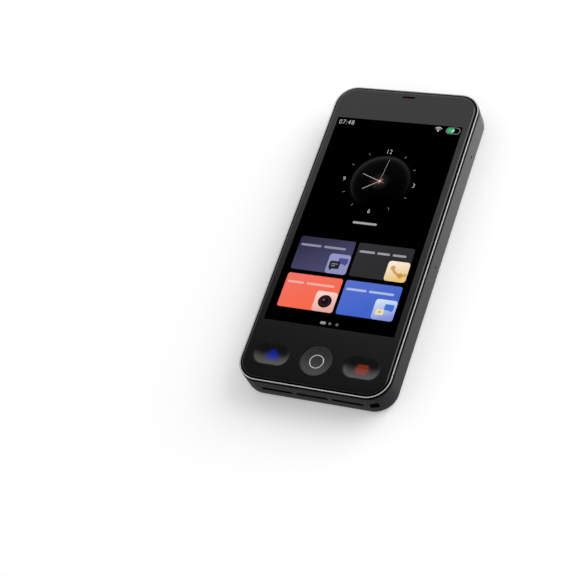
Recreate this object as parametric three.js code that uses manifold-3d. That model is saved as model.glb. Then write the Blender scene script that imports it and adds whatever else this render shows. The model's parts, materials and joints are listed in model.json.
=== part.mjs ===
// Handheld translator: a touch screen, three front keys, a side key and two rear cameras in one metal frame.
// Millimetres. The part lies on its back: +Z comes out of the screen, +Y points to the earpiece end,
// +X is to the right for someone who reads the screen. The origin is the middle of the flat back cover.

import * as THREE from "three";
import { mergeVertices } from "three/addons/utils/BufferGeometryUtils.js";
import Module from "manifold-3d";

// Frame, with its bright edges
const frameWidth = 72.0;
const frameLength = 158.8;
const frameHeight = 15.0;
const cornerRadius = 10.4;
const wallThickness = 2.4;
const backRoundInset = 2.0;
const backRoundHeight = 3.6;
const backRingWidth = 0.65;
const frontChamferInset = 0.4;
const frontChamferDrop = 0.85;
const frontRingWidth = 0.6;
const plateThickness = 1.0;
const glassLedgeWidth = 2.2;
const coverLedgeWidth = 1.6;
const coverLedgeThickness = 1.2;
const ribThickness = 1.2;

// Back cover
const coverThickness = 0.9;
const coverProud = 0.25;
const coverGap = 0.5;
const coverChamfer = 0.25;

// Front glass
const glassThickness = 1.3;
const glassProud = 0.7;
const glassGap = 0.6;
const glassEdgeInset = 1.3;
const glassEdgeDrop = 0.6;

// Screen, by the borders round it: 62.1 by 110.4, which is 5 inches across in the ratio 16 to 9
const screenFromSide = 4.95;
const screenFromBottom = 30.15;
const screenFromTop = 18.25;
const panelThickness = 1.4;
const backlightThickness = 1.5;
const panelSideBorder = 1.3;
const panelTopBorder = 1.6;
const panelBottomBorder = 3.0;
const panelClearance = 0.3;
const flexRoom = 1.2;
const flexThickness = 0.3;
const keyRibbonThickness = 0.3;
const displayFlexWidth = 16.0;

// Front keys
const keyRowFromBottom = 13.27;
const homeDiameter = 14.5;
const homeDishDepth = 0.8;
const homeRingRadius = 3.12;
const homeRingWidth = 0.45;
const homeRingHeight = 0.5;
const homeRingProud = 0.12;
const talkKeyFromSide = 6.3;
const talkKeyHomeGap = 5.65;
const talkKeyWidth = 10.0;
const talkDishDepth = 0.9;
const keyClearance = 0.2;
const keyTravel = 0.45;
const keyFlangeWidth = 0.8;
const keyFlangeThickness = 0.8;
const keyTopDrop = 0.1;
const keyRimWidth = 0.35;
const keyUnderGap = 0.15;
const dishFloorHalfWidth = 0.6;

// Switches under the keys
const switchSide = 5.2;
const switchCorner = 0.5;
const switchFloor = 0.35;
const switchGap = 0.25;
const plungerDiameter = 2.2;
const plungerReach = 0.5;
const plungerClearance = 0.2;
const keyBoardThickness = 0.8;
const keyBoardMargin = 2.4;
const keyRibbonWidth = 10.0;
const keyRibbonSetback = 1.5;
const keyLampSide = 1.8;
const keyLampHeight = 0.7;
const keyLampOffset = 5.0;

// Side key and the raised ramp round it
const sideKeyFromTop = 45.6;
const sideKeyLength = 12.2;
const sideKeyWidth = 4.0;
const sideKeyCorner = 1.5;
const sideKeyProud = 1.05;
const sideKeyEdge = 0.35;
const sideKeyFlange = 0.7;
const rampHeight = 0.9;
const rampLengthMargin = 4.0;
const rampWidthMargin = 1.7;
const rampLengthSlope = 3.6;
const rampWidthSlope = 1.3;
const rampCorner = 2.2;
const sideSwitchLength = 6.0;
const sideSwitchWidth = 3.4;
const sideBracketThickness = 0.8;
const sideBracketLength = 13.0;

// Earpiece and status light at the top of the glass
const earpieceFromTop = 4.5;
const earpieceLength = 6.2;
const earpieceWidth = 1.0;
const earpieceRecess = 0.45;
const earpieceClearance = 0.08;
const receiverLength = 11.0;
const receiverWidth = 2.6;
const receiverGap = 0.3;
const statusLightLength = 1.6;
const statusLightWidth = 0.9;
const pocketClearance = 0.3;

// Rear lenses, flash and red ring, from the top edge down
const lensFromTop = 9.5;
const lensRingDiameter = 5.8;
const lensBoreDiameter = 4.5;
const lensThroatDiameter = 3.5;
const lensFlashGap = 1.44;
const flashDiameter = 4.6;
const flashLensGap = 3.05;
const lensRedGap = 1.05;
const redRingDiameter = 5.2;
const redBoreDiameter = 2.0;
const trimFlangeWidth = 0.4;
const trimFlangeThickness = 0.5;
const trimClearance = 0.1;
const trimRecess = 0.08;
const lensGlassRecess = 0.25;
const lensGlassThickness = 0.6;
const lensGlassClearance = 0.08;
const redDishDepth = 0.45;
const redDishShare = 0.72;
const redCoreRecess = 0.3;
const cameraMargin = 0.6;
const cameraCorner = 0.8;
const cameraBarrelLength = 1.2;
const flashBaseSide = 3.4;
const rearMicSide = 2.8;

// Boards and what is on them
const boardThickness = 1.0;
const boardBossHeight = 1.6;
const boardBossDiameter = 4.2;
const boardBossInset = 4.0;
const boardLength = 54.0;
const boardSideRoom = 5.4;
const boardEndGap = 0.9;
const boardCorner = 2.0;
const shieldCorner = 1.0;
const processorShieldSide = 24.0;
const processorShieldHeight = 1.2;
const radioShieldFromSide = 4.2;
const radioShieldFromMiddle = 7.0;
const radioShieldLength = 22.0;
const radioShieldHeight = 2.2;
const vibratorFromSide = 12.7;
const vibratorDiameter = 8.0;
const vibratorHeight = 2.8;
const antennaScrewGap = 0.4;
const upperAntennaWidth = 7.0;
const upperAntennaHeight = 3.2;
const partGap = 0.6;

// Screws of the boards
const screwHeadDiameter = 2.6;
const screwHeadHeight = 0.7;
const screwShankDiameter = 1.3;
const screwClearance = 0.12;
const boardScrewReach = 1.2;
const keyScrewReach = 0.6;

// Battery and the ribbon that runs past it
const linkRibbonWidth = 4.4;
const batteryCorner = 2.5;
const batterySwellGap = 0.9;
const batteryEndGap = 1.2;
const batteryTabLength = 8.0;

// Loudspeaker behind the three slots of the bottom edge
const slotWidth = 1.3;
const slotGap = 1.7;
const slotLanyardGap = 2.9;
const slotFromFront = 7.35;
const meshThickness = 0.5;
const meshMargin = 0.9;
const speakerBackGap = 0.4;
const speakerSideMargin = 1.0;
const speakerCorner = 1.6;
const speakerPocketWall = 2.2;
const speakerPocketDepth = 3.4;
const driverLength = 26.0;
const driverClearance = 0.3;

// Lanyard eye in the lower right corner
const lanyardFromSide = 7.0;
const lanyardHoleWidth = 3.8;
const lanyardHoleHeight = 3.6;
const lanyardHoleDepth = 5.2;
const lanyardWall = 1.2;
const lanyardBarDiameter = 1.0;
const lanyardBarRecess = 1.9;

// Charging socket in the top edge
const socketWidth = 9.0;
const socketHeight = 3.2;
const socketDepth = 7.3;
const socketWall = 0.32;
const socketFromSide = 21.0;
const socketClearance = 0.15;
const socketRecess = 0.5;
const socketTongueWidth = 6.7;
const socketTongueThickness = 0.7;
const socketTongueSetback = 0.8;
const socketTailThickness = 1.2;

// Microphones behind the two pinholes of the right edge
const pinholeDiameter = 0.9;
const upperPinholeFromTop = 28.7;
const lowerPinholeFromTop = 87.9;
const pinholeFromFront = 8.0;
const sideMicLength = 3.8;
const sideMicWidth = 2.8;
const sideMicHeight = 1.1;

// How far a cutting shape runs past the face that it opens
const overrun = 2.0;
// Vertices nearer than this are one vertex
const weldDistance = 0.0001;

// Counts of steps on round shapes
const cornerSteps = 8;
const smallCornerSteps = 3;
const roundSteps = 6;
const dishSteps = 4;
const largeRoundSides = 40;
const smallRoundSides = 16;

const quarterTurn = Math.PI / 2;
// Corner radius of a slot or key with round ends, as a share of its width
const roundEndShare = 0.48;

// Heights above the flat back
const backRingZ = coverProud;
const frontRingZ = backRingZ + frameHeight;
const glassTopZ = frontRingZ + glassProud;
const glassBottomZ = glassTopZ - glassThickness;
const panelBottomZ = glassBottomZ - panelThickness;
const plateTopZ = panelBottomZ - backlightThickness;
const plateBottomZ = plateTopZ - plateThickness;
const boardTopZ = plateBottomZ - boardBossHeight;
const boardBottomZ = boardTopZ - boardThickness;
const slotZ = frontRingZ - slotFromFront;
const coverLedgeTopZ = coverThickness + coverLedgeThickness;
const trimFlangeTopZ = coverThickness + trimFlangeThickness;
const keyTopZ = glassTopZ - keyTopDrop;
const keyFlangeTopZ = glassBottomZ - keyUnderGap;
const keyFlangeBottomZ = keyFlangeTopZ - keyFlangeThickness;
const switchTopZ = keyFlangeBottomZ - keyTravel - switchGap;
const switchHeight = plungerReach + keyTravel + plungerClearance + switchFloor;
const keyBoardTopZ = switchTopZ - switchHeight;
const chinFloorZ = keyBoardTopZ - keyBoardThickness;
const chinPlateBottomZ = chinFloorZ - plateThickness;

// Insets from the frame's outer outline
const frontRingInset = frontChamferInset + frontRingWidth;
const glassInset = frontRingInset + glassGap;
const pocketInset = frontRingInset + glassLedgeWidth;
const backRingInset = backRoundInset + backRingWidth;
const coverInset = backRingInset + coverGap;
const coverOpeningInset = coverInset + coverLedgeWidth;

// Places along the frame
const halfWidth = frameWidth / 2;
const halfLength = frameLength / 2;
const innerX = halfWidth - wallThickness;
const innerY = halfLength - wallThickness;
const keyRowY = -halfLength + keyRowFromBottom;
const screenBottomY = -halfLength + screenFromBottom;
const screenTopY = halfLength - screenFromTop;
const panelBottomY = screenBottomY - panelBottomBorder;
const panelTopY = screenTopY + panelTopBorder;
const panelHalfWidth = halfWidth - screenFromSide + panelSideBorder;
const displayPocketBottomY = panelBottomY - flexRoom;
const chinTopY = displayPocketBottomY - ribThickness;
const stepY = displayPocketBottomY - ribThickness / 2;
const earpieceY = halfLength - earpieceFromTop;
const sideKeyY = halfLength - sideKeyFromTop;
const upperLensY = halfLength - lensFromTop;
const flashY = upperLensY - lensRingDiameter / 2 - lensFlashGap - flashDiameter / 2;
const lowerLensY = flashY - flashDiameter / 2 - flashLensGap - lensRingDiameter / 2;
const redRingY = lowerLensY - lensRingDiameter / 2 - lensRedGap - redRingDiameter / 2;
const boardTopY = innerY - boardEndGap;
const boardBottomY = boardTopY - boardLength;
const boardHalfWidth = innerX - boardSideRoom;
const batteryTopY = boardBottomY - batteryEndGap;
const pocketHalfWidth = halfWidth - pocketInset;
const keyBoardHalfWidth = pocketHalfWidth - keyBoardMargin;
const keyBoardLowY = -halfLength + pocketInset + keyBoardMargin;
const keyBoardHighY = chinTopY - keyBoardMargin;
const keyRibbonY = keyBoardHighY - keyRibbonSetback;
const talkKeyInnerX = homeDiameter / 2 + talkKeyHomeGap;
const talkKeyLength = halfWidth - talkKeyFromSide - talkKeyInnerX;
const talkKeyOffset = talkKeyInnerX + talkKeyLength / 2;
const homeRimRadius = homeDiameter / 2 - keyRimWidth;
const receiverTopZ = glassBottomZ - receiverGap;
const statusLightY = earpieceY - receiverWidth / 2 - receiverGap - statusLightWidth / 2;
const socketX = halfWidth - socketFromSide;
const socketMouthY = halfLength - socketRecess;
const socketBackY = socketMouthY - socketDepth;
const batteryHalfWidth = innerX - linkRibbonWidth - 2 * partGap;
const batteryBottomY = displayPocketBottomY + flexRoom + linkRibbonWidth + batteryEndGap;
const lanyardX = halfWidth - lanyardFromSide;
const slotRowHalf = lanyardX - lanyardHoleWidth / 2 - slotLanyardGap;
const slotLength = (2 * slotRowHalf - 2 * slotGap) / 3;
const slotPitch = slotLength + slotGap;
const speakerHalfWidth = lanyardX - lanyardHoleWidth / 2 - lanyardWall - speakerSideMargin;
const speakerBottomY = -innerY + meshThickness;
const speakerTopY = keyRibbonY - keyRibbonThickness / 2 - partGap;

// A finish with its colour, roughness and share of metal
function finish(color, roughness, metalness) {
  return new THREE.MeshStandardMaterial({ color, roughness, metalness });
}

const finishes = {
  frame: () => finish("#4a4a4e", 0.42, 0.9),
  bright: () => finish("#c9c9cc", 0.2, 1.0),
  blackGlass: () => finish("#232326", 0.12, 0.0),
  screen: () => finish("#050507", 0.15, 0.0),
  backPanel: () => finish("#2b2b2f", 0.5, 0.1),
  keyCap: () => finish("#3a3a3d", 0.35, 0.0),
  lamp: (color) => finish(color, 0.4, 0.0),
  redMetal: () => finish("#a5121f", 0.3, 0.8),
  redCore: () => finish("#4a060b", 0.5, 0.2),
  lens: () => finish("#08080a", 0.06, 0.0),
  flash: () => finish("#e4e4d8", 0.4, 0.0),
  steel: () => finish("#8d8f92", 0.35, 1.0),
  blackPlastic: () => finish("#1b1b1d", 0.6, 0.0),
  board: () => finish("#17402c", 0.6, 0.0),
  ribbon: () => finish("#8a4f1c", 0.5, 0.1),
  battery: () => finish("#31343a", 0.45, 0.2),
  mesh: () => finish("#111113", 0.7, 0.4),
  plunger: () => finish("#c8c2b0", 0.5, 0.0),
};

// Library for joining and cutting closed solids
const wasm = await Module();
wasm.setup();

// A closed geometry as a solid that can be joined and cut
function toSolid(geometry) {
  const bare = geometry.clone();
  bare.deleteAttribute("normal");
  bare.deleteAttribute("uv");
  const merged = mergeVertices(bare, weldDistance);
  const corners = Array.from(merged.index.array);
  const triangles = [];
  for (let at = 0; at < corners.length; at += 3) {
    const [a, b, c] = corners.slice(at, at + 3);
    if (a !== b && b !== c && c !== a) {
      triangles.push(a, b, c);
    }
  }
  const mesh = new wasm.Mesh({
    numProp: 3,
    vertProperties: merged.attributes.position.array,
    triVerts: new Uint32Array(triangles),
  });
  return new wasm.Manifold(mesh);
}

// A solid as a geometry with flat faces
function toGeometry(solid) {
  const mesh = solid.getMesh();
  const geometry = new THREE.BufferGeometry();
  geometry.setAttribute("position", new THREE.BufferAttribute(new Float32Array(mesh.vertProperties), 3));
  geometry.setIndex(new THREE.BufferAttribute(new Uint32Array(mesh.triVerts), 1));
  return geometry;
}

// The first geometry with the others taken out of it
function cut(geometry, tools) {
  let solid = toSolid(geometry);
  for (const tool of tools) {
    solid = solid.subtract(toSolid(tool));
  }
  return toGeometry(solid);
}

// All the geometries as one body
function join(geometries) {
  let solid = toSolid(geometries[0]);
  for (const geometry of geometries.slice(1)) {
    solid = solid.add(toSolid(geometry));
  }
  return toGeometry(solid);
}

// What two geometries have in common
function common(geometry, other) {
  return toGeometry(toSolid(geometry).intersect(toSolid(other)));
}

// A named sub-part
function piece(name, geometry, material) {
  geometry.computeVertexNormals();
  const mesh = new THREE.Mesh(geometry, material);
  mesh.name = name;
  return mesh;
}

// A box between two corners
function box(lowX, highX, lowY, highY, lowZ, highZ) {
  const geometry = new THREE.BoxGeometry(highX - lowX, highY - lowY, highZ - lowZ);
  return geometry.translate((lowX + highX) / 2, (lowY + highY) / 2, (lowZ + highZ) / 2);
}

// A box given by its middle in X and Y
function boxAt(x, y, width, length, lowZ, highZ) {
  return box(x - width / 2, x + width / 2, y - length / 2, y + length / 2, lowZ, highZ);
}

// An upright cylinder
function rod(x, y, diameter, lowZ, highZ, sides = smallRoundSides) {
  const geometry = new THREE.CylinderGeometry(diameter / 2, diameter / 2, highZ - lowZ, sides);
  return geometry.rotateX(quarterTurn).translate(x, y, (lowZ + highZ) / 2);
}

// The corner points of one round-cornered outline, anticlockwise seen from above
function outlinePoints({ width, length, radius, z }, steps) {
  const points = [];
  const corners = [[1, 1], [-1, 1], [-1, -1], [1, -1]];
  corners.forEach(([sideX, sideY], corner) => {
    for (let step = 0; step <= steps; step += 1) {
      const angle = (corner + step / steps) * quarterTurn;
      const x = sideX * (width / 2 - radius) + radius * Math.cos(angle);
      const y = sideY * (length / 2 - radius) + radius * Math.sin(angle);
      points.push([x, y, z]);
    }
  });
  return points;
}

// A closed solid through a stack of round-cornered outlines, from its lower cap to its upper one
function stacked(levels, steps = cornerSteps) {
  const rings = levels.map((level) => outlinePoints(level, steps));
  const count = rings[0].length;
  const positions = rings.flat(2);
  const lowCentre = positions.push(0, 0, levels[0].z) / 3 - 1;
  const highCentre = positions.push(0, 0, levels[levels.length - 1].z) / 3 - 1;
  const index = [];
  for (let i = 0; i < count; i += 1) {
    const next = (i + 1) % count;
    index.push(lowCentre, next, i);
    for (let k = 0; k < rings.length - 1; k += 1) {
      const low = k * count;
      const high = low + count;
      index.push(low + i, low + next, high + next);
      index.push(low + i, high + next, high + i);
    }
    const top = (rings.length - 1) * count;
    index.push(highCentre, top + i, top + next);
  }
  const geometry = new THREE.BufferGeometry();
  geometry.setAttribute("position", new THREE.Float32BufferAttribute(positions, 3));
  geometry.setIndex(index);
  return geometry;
}

// A round-cornered block round a middle point
function block(x, y, width, length, radius, lowZ, highZ, steps = smallCornerSteps) {
  const levels = [lowZ, highZ].map((z) => ({ width, length, radius, z }));
  return stacked(levels, steps).translate(x, y, 0);
}

// An outline that lies a given inset inside the frame's outer outline
function frameLevel(inset, z) {
  return {
    width: frameWidth - 2 * inset,
    length: frameLength - 2 * inset,
    radius: cornerRadius - inset,
    z,
  };
}

// A slab that follows the frame's outline
function frameSlab(inset, lowZ, highZ) {
  return stacked([frameLevel(inset, lowZ), frameLevel(inset, highZ)]);
}

// A ring or disc turned round the Z axis from a profile of radius and height pairs
function turned(profile, sides = largeRoundSides) {
  const points = profile.map(([radius, z]) => new THREE.Vector2(radius, z));
  return new THREE.LatheGeometry(points, sides).rotateX(quarterTurn);
}

// A ring with an open bore, whose profile closes on itself
function turnedRing(profile, sides = largeRoundSides) {
  return turned([...profile, profile[0]], sides);
}

// Turns a shape that stands on +Z so that it points out of the left side of the frame
function toLeftSide(geometry) {
  return geometry.rotateY(-quarterTurn).translate(0, sideKeyY, slotZ);
}

// Turns a shape that stands on +Z so that it points out of the right side of the frame
function toRightSide(geometry, y, z) {
  return geometry.rotateY(quarterTurn).translate(0, y, z);
}

// The frame's outer form: a bright back ring, a round back edge, plain walls and a chamfer at the front
function frameOutside() {
  const levels = [];
  for (let step = 0; step <= roundSteps; step += 1) {
    const angle = (step / roundSteps) * quarterTurn;
    const inset = backRoundInset * (1 - Math.sin(angle));
    levels.push(frameLevel(inset, backRingZ + backRoundHeight * (1 - Math.cos(angle))));
  }
  levels.push(frameLevel(0, frontRingZ - frontChamferDrop));
  levels.push(frameLevel(frontChamferInset, frontRingZ));
  return stacked(levels);
}

// The raised ramp on the left side, which runs out along the wall at both ends
function sideRamp() {
  const topLength = sideKeyLength + 2 * rampLengthMargin;
  const topWidth = sideKeyWidth + 2 * rampWidthMargin;
  const foot = {
    width: topWidth + 2 * rampWidthSlope,
    length: topLength + 2 * rampLengthSlope,
    radius: rampCorner,
    z: halfWidth,
  };
  const root = { ...foot, z: innerX };
  const crest = { width: topWidth, length: topLength, radius: rampCorner, z: halfWidth + rampHeight };
  return toLeftSide(stacked([root, foot, crest], smallCornerSteps));
}

// Hole for the side key through the ramp and the wall
function sideKeyHole() {
  const width = sideKeyWidth + 2 * keyClearance;
  const length = sideKeyLength + 2 * keyClearance;
  const radius = sideKeyCorner + keyClearance;
  const reach = halfWidth + rampHeight + overrun;
  return toLeftSide(block(0, 0, width, length, radius, innerX - overrun, reach));
}

// Where the four board screws stand
function boardScrewPlaces() {
  const x = boardHalfWidth - boardBossInset;
  const lowY = boardBottomY + boardBossInset;
  const highY = boardTopY - boardBossInset;
  return [[-x, lowY], [x, lowY], [-x, highY], [x, highY]];
}

// Where the two key board screws stand, halfway between the home key and the talk keys
function keyScrewPlaces() {
  const x = (homeDiameter / 2 + talkKeyInnerX) / 2;
  return [[-x, keyRowY], [x, keyRowY]];
}

// Block that fills the corner round the lanyard hole
function lanyardBlock() {
  const width = lanyardHoleWidth + 2 * lanyardWall;
  const height = lanyardHoleHeight + 2 * lanyardWall;
  const low = slotZ - height / 2;
  const highY = -halfLength + lanyardHoleDepth + lanyardWall;
  const corner = box(lanyardX - width / 2, halfWidth, -halfLength, highY, low, low + height);
  return common(corner, frameSlab(wallThickness / 2, low, low + height));
}

function lanyardHole() {
  const low = slotZ - lanyardHoleHeight / 2;
  const highY = -halfLength + lanyardHoleDepth;
  const lowX = lanyardX - lanyardHoleWidth / 2;
  return box(lowX, lowX + lanyardHoleWidth, -halfLength - overrun, highY, low, low + lanyardHoleHeight);
}

// The three long sound slots through the bottom wall
function soundSlots() {
  return [-slotPitch, 0, slotPitch].map((x) => {
    const radius = slotWidth * roundEndShare;
    const slot = block(0, 0, slotLength, slotWidth, radius, innerY - overrun, halfLength + overrun);
    return slot.rotateX(quarterTurn).translate(x, 0, slotZ);
  });
}

// Mouth of the charging socket through the top wall
function socketMouth() {
  const width = socketWidth + 2 * socketClearance;
  const height = socketHeight + 2 * socketClearance;
  const mouth = block(0, 0, width, height, height * roundEndShare, innerY - overrun, halfLength + overrun);
  return mouth.rotateX(-quarterTurn).translate(socketX, 0, slotZ);
}

function pinhole(fromTop) {
  const hole = rod(0, 0, pinholeDiameter, innerX - overrun, halfWidth + overrun);
  return toRightSide(hole, halfLength - fromTop, frontRingZ - pinholeFromFront);
}

// The hollows behind the plate: the cover's seat, its opening, and the bay with its step at the chin
function backHollows() {
  const seat = frameSlab(backRingInset, -overrun, coverThickness);
  const opening = frameSlab(coverOpeningInset, -overrun, coverLedgeTopZ + overrun);
  const bay = frameSlab(wallThickness, coverLedgeTopZ, chinPlateBottomZ);
  const upperHalf = box(-halfWidth, halfWidth, stepY, halfLength, coverLedgeTopZ, plateBottomZ);
  const upperBay = common(frameSlab(wallThickness, coverLedgeTopZ, plateBottomZ), upperHalf);
  return [seat, opening, bay, upperBay];
}

// The hollows in front of the plate: the glass seat, the display, the chin and the earpiece
function frontHollows() {
  const seat = frameSlab(frontRingInset, glassBottomZ, frontRingZ + overrun);
  const displayHalfWidth = panelHalfWidth + panelClearance;
  const displayTopY = panelTopY + panelClearance;
  const highZ = glassBottomZ + overrun;
  const display = box(
    -displayHalfWidth, displayHalfWidth, displayPocketBottomY, displayTopY, plateTopZ, highZ,
  );
  const lowerHalf = box(-halfWidth, halfWidth, -halfLength, chinTopY, chinFloorZ, highZ);
  const chin = common(frameSlab(pocketInset, chinFloorZ, highZ), lowerHalf);
  const earpieceHalf = receiverLength / 2 + pocketClearance;
  const earpieceLowY = statusLightY - statusLightWidth / 2 - pocketClearance;
  const earpieceHighY = earpieceY + receiverWidth / 2 + pocketClearance;
  const earpiece = box(-earpieceHalf, earpieceHalf, earpieceLowY, earpieceHighY, plateTopZ, highZ);
  return [seat, display, chin, earpiece];
}

// Slots that let the two ribbons through the plate
function ribbonSlots() {
  const displayHalf = displayFlexWidth / 2 + panelClearance;
  const lowZ = plateBottomZ - overrun;
  const highZ = plateTopZ + overrun;
  const display = box(-displayHalf, displayHalf, displayPocketBottomY, panelBottomY, lowZ, highZ);
  const width = keyRibbonWidth + 2 * panelClearance;
  const length = keyRibbonThickness + 2 * panelClearance;
  const key = boxAt(0, keyRibbonY, width, length, chinPlateBottomZ - overrun, chinFloorZ + overrun);
  return [display, key];
}

// Bosses under the plate that the main board is screwed to
function boardBosses() {
  return boardScrewPlaces().map(([x, y]) => rod(x, y, boardBossDiameter, boardTopZ, plateTopZ));
}

function screwHoles() {
  const diameter = screwShankDiameter + 2 * screwClearance;
  const boardHighZ = boardTopZ + boardScrewReach + screwClearance;
  const keyLowZ = chinFloorZ - keyScrewReach - screwClearance;
  const board = boardScrewPlaces().map(([x, y]) => rod(x, y, diameter, boardTopZ - overrun, boardHighZ));
  const key = keyScrewPlaces().map(([x, y]) => rod(x, y, diameter, keyLowZ, chinFloorZ + overrun));
  return [...board, ...key];
}

function middleFrame() {
  const shell = cut(frameOutside(), backHollows());
  const solid = join([shell, sideRamp(), lanyardBlock(), ...boardBosses()]);
  const holes = [
    ...frontHollows(),
    ...ribbonSlots(),
    ...soundSlots(),
    ...screwHoles(),
    socketMouth(),
    sideKeyHole(),
    lanyardHole(),
    pinhole(upperPinholeFromTop),
    pinhole(lowerPinholeFromTop),
  ];
  return piece("middle_frame", cut(solid, holes), finishes.frame());
}

// Front glass with its rounded rim, opened for the keys and the earpiece
function coverGlass() {
  const levels = [frameLevel(glassInset, glassBottomZ)];
  for (let step = 0; step <= roundSteps; step += 1) {
    const angle = (step / roundSteps) * quarterTurn;
    const inset = glassInset + glassEdgeInset * (1 - Math.cos(angle));
    levels.push(frameLevel(inset, glassTopZ - glassEdgeDrop * (1 - Math.sin(angle))));
  }
  const low = glassBottomZ - overrun;
  const high = glassTopZ + overrun;
  const talkWidth = talkKeyWidth + 2 * keyClearance;
  const talkLength = talkKeyLength + 2 * keyClearance;
  const talkHoles = [-talkKeyOffset, talkKeyOffset].map((x) =>
    block(x, keyRowY, talkLength, talkWidth, talkWidth * roundEndShare, low, high, cornerSteps),
  );
  const homeHole = rod(0, keyRowY, homeDiameter + 2 * keyClearance, low, high, largeRoundSides);
  const slotRadius = earpieceWidth * roundEndShare;
  const slot = block(0, earpieceY, earpieceLength, earpieceWidth, slotRadius, low, high);
  const glass = cut(stacked(levels), [homeHole, slot, ...talkHoles]);
  return piece("cover_glass", glass, finishes.blackGlass());
}

// Display module and the ribbon that leads from it through the plate
function display() {
  const panel = box(-panelHalfWidth, panelHalfWidth, panelBottomY, panelTopY, panelBottomZ, glassBottomZ);
  const light = box(-panelHalfWidth, panelHalfWidth, panelBottomY, panelTopY, plateTopZ, panelBottomZ);
  const half = displayFlexWidth / 2;
  const lowZ = plateBottomZ - flexThickness;
  const ribbon = box(-half, half, panelBottomY - flexThickness, panelBottomY, lowZ, glassBottomZ - partGap);
  return [
    piece("display_panel", panel, finishes.screen()),
    piece("display_backlight", light, finishes.flash()),
    piece("display_ribbon", ribbon, finishes.ribbon()),
  ];
}

// Ribbon on the back of the plate, from the display past the battery to the main board
function linkRibbon() {
  const rightX = innerX - partGap;
  const leftX = rightX - linkRibbonWidth;
  const topY = boardBottomY + 2 * boardBossInset + boardBossDiameter;
  const shape = new THREE.Shape();
  shape.moveTo(-displayFlexWidth / 2, panelBottomY);
  shape.lineTo(rightX, panelBottomY);
  shape.lineTo(rightX, topY + linkRibbonWidth);
  shape.lineTo(boardHalfWidth - boardBossInset, topY + linkRibbonWidth);
  shape.lineTo(boardHalfWidth - boardBossInset, topY);
  shape.lineTo(leftX, topY);
  shape.lineTo(leftX, panelBottomY + linkRibbonWidth);
  shape.lineTo(-displayFlexWidth / 2, panelBottomY + linkRibbonWidth);
  const ribbon = new THREE.ExtrudeGeometry(shape, { depth: flexThickness, bevelEnabled: false });
  ribbon.translate(0, 0, plateBottomZ - flexThickness);
  return piece("link_ribbon", ribbon, finishes.ribbon());
}

// Height of the home key's dish at a distance from its middle
function homeDishZ(radius) {
  return keyTopZ - homeDishDepth * (1 - (radius / homeRimRadius) ** 2);
}

// Height of the top of the home key's bright ring, which stands a little proud of the dish
function homeRingTop() {
  return homeDishZ(homeRingRadius) + homeRingProud;
}

// Home key: a flange under the glass, a dished face and a groove for the bright ring
function homeButton() {
  const radius = homeDiameter / 2;
  const flangeRadius = radius + keyFlangeWidth;
  const grooveInner = homeRingRadius - homeRingWidth / 2 - trimClearance / 2;
  const grooveOuter = homeRingRadius + homeRingWidth / 2 + trimClearance / 2;
  const grooveZ = homeRingTop() - homeRingHeight;
  const profile = [
    [0, keyFlangeBottomZ],
    [flangeRadius, keyFlangeBottomZ],
    [flangeRadius, keyFlangeTopZ],
    [radius, keyFlangeTopZ],
    [radius, keyTopZ - keyRimWidth / 2],
    [radius - keyRimWidth / 2, keyTopZ],
  ];
  for (let step = 0; step <= dishSteps; step += 1) {
    const at = homeRimRadius + (grooveOuter - homeRimRadius) * (step / dishSteps);
    profile.push([at, homeDishZ(at)]);
  }
  profile.push([grooveOuter, grooveZ]);
  profile.push([grooveInner, grooveZ]);
  profile.push([grooveInner, homeDishZ(grooveInner)]);
  profile.push([grooveInner / 2, homeDishZ(grooveInner / 2)]);
  profile.push([0, homeDishZ(0)]);
  return piece("home_button", turned(profile).translate(0, keyRowY, 0), finishes.keyCap());
}

function homeRing() {
  const inner = homeRingRadius - homeRingWidth / 2;
  const outer = homeRingRadius + homeRingWidth / 2;
  const topZ = homeRingTop();
  const bottomZ = topZ - homeRingHeight;
  const crownZ = topZ - homeRingProud / 2;
  const profile = [
    [inner, bottomZ],
    [outer, bottomZ],
    [outer, crownZ],
    [homeRingRadius, topZ],
    [inner, crownZ],
  ];
  return piece("home_ring", turnedRing(profile).translate(0, keyRowY, 0), finishes.bright());
}

// Talk key: a long dished cap with round ends and a flange under the glass
function talkKey(name, x) {
  const face = (inset, z) => ({
    width: talkKeyLength - 2 * inset,
    length: talkKeyWidth - 2 * inset,
    radius: talkKeyWidth * roundEndShare - inset,
    z,
  });
  const levels = [
    face(-keyFlangeWidth, keyFlangeBottomZ),
    face(-keyFlangeWidth, keyFlangeTopZ),
    face(0, keyFlangeTopZ),
    face(0, keyTopZ - keyRimWidth / 2),
    face(keyRimWidth / 2, keyTopZ),
  ];
  const dishReach = talkKeyWidth / 2 - keyRimWidth - dishFloorHalfWidth;
  for (let step = 0; step <= dishSteps; step += 1) {
    const share = step / dishSteps;
    const inset = keyRimWidth + dishReach * share;
    levels.push(face(inset, keyTopZ - talkDishDepth * (1 - (1 - share) ** 2)));
  }
  return piece(name, stacked(levels).translate(x, keyRowY, 0), finishes.keyCap());
}

// A push switch that stands on +Z, with a well for the plunger
function switchBody(width, length, topZ) {
  const body = block(0, 0, width, length, switchCorner, topZ - switchHeight, topZ);
  const wellZ = topZ - plungerReach - keyTravel - plungerClearance;
  const well = rod(0, 0, plungerDiameter + 2 * plungerClearance, wellZ, topZ + overrun);
  return cut(body, [well]);
}

// Plunger between a key's flange and its switch
function plunger(topZ) {
  return rod(0, 0, plungerDiameter, topZ - keyTravel - switchGap - plungerReach, topZ);
}

// Switch and plunger under one front key
function keySwitch(name, x) {
  const body = switchBody(switchSide, switchSide, switchTopZ).translate(x, keyRowY, 0);
  const pin = plunger(keyFlangeBottomZ).translate(x, keyRowY, 0);
  return [
    piece(`${name}_switch`, body, finishes.steel()),
    piece(`${name}_plunger`, pin, finishes.plunger()),
  ];
}

function keyLamp(name, x, color) {
  const lamp = boxAt(x, keyRowY, keyLampSide, keyLampSide, keyBoardTopZ, keyBoardTopZ + keyLampHeight);
  return piece(name, lamp, finishes.lamp(color));
}

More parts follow.
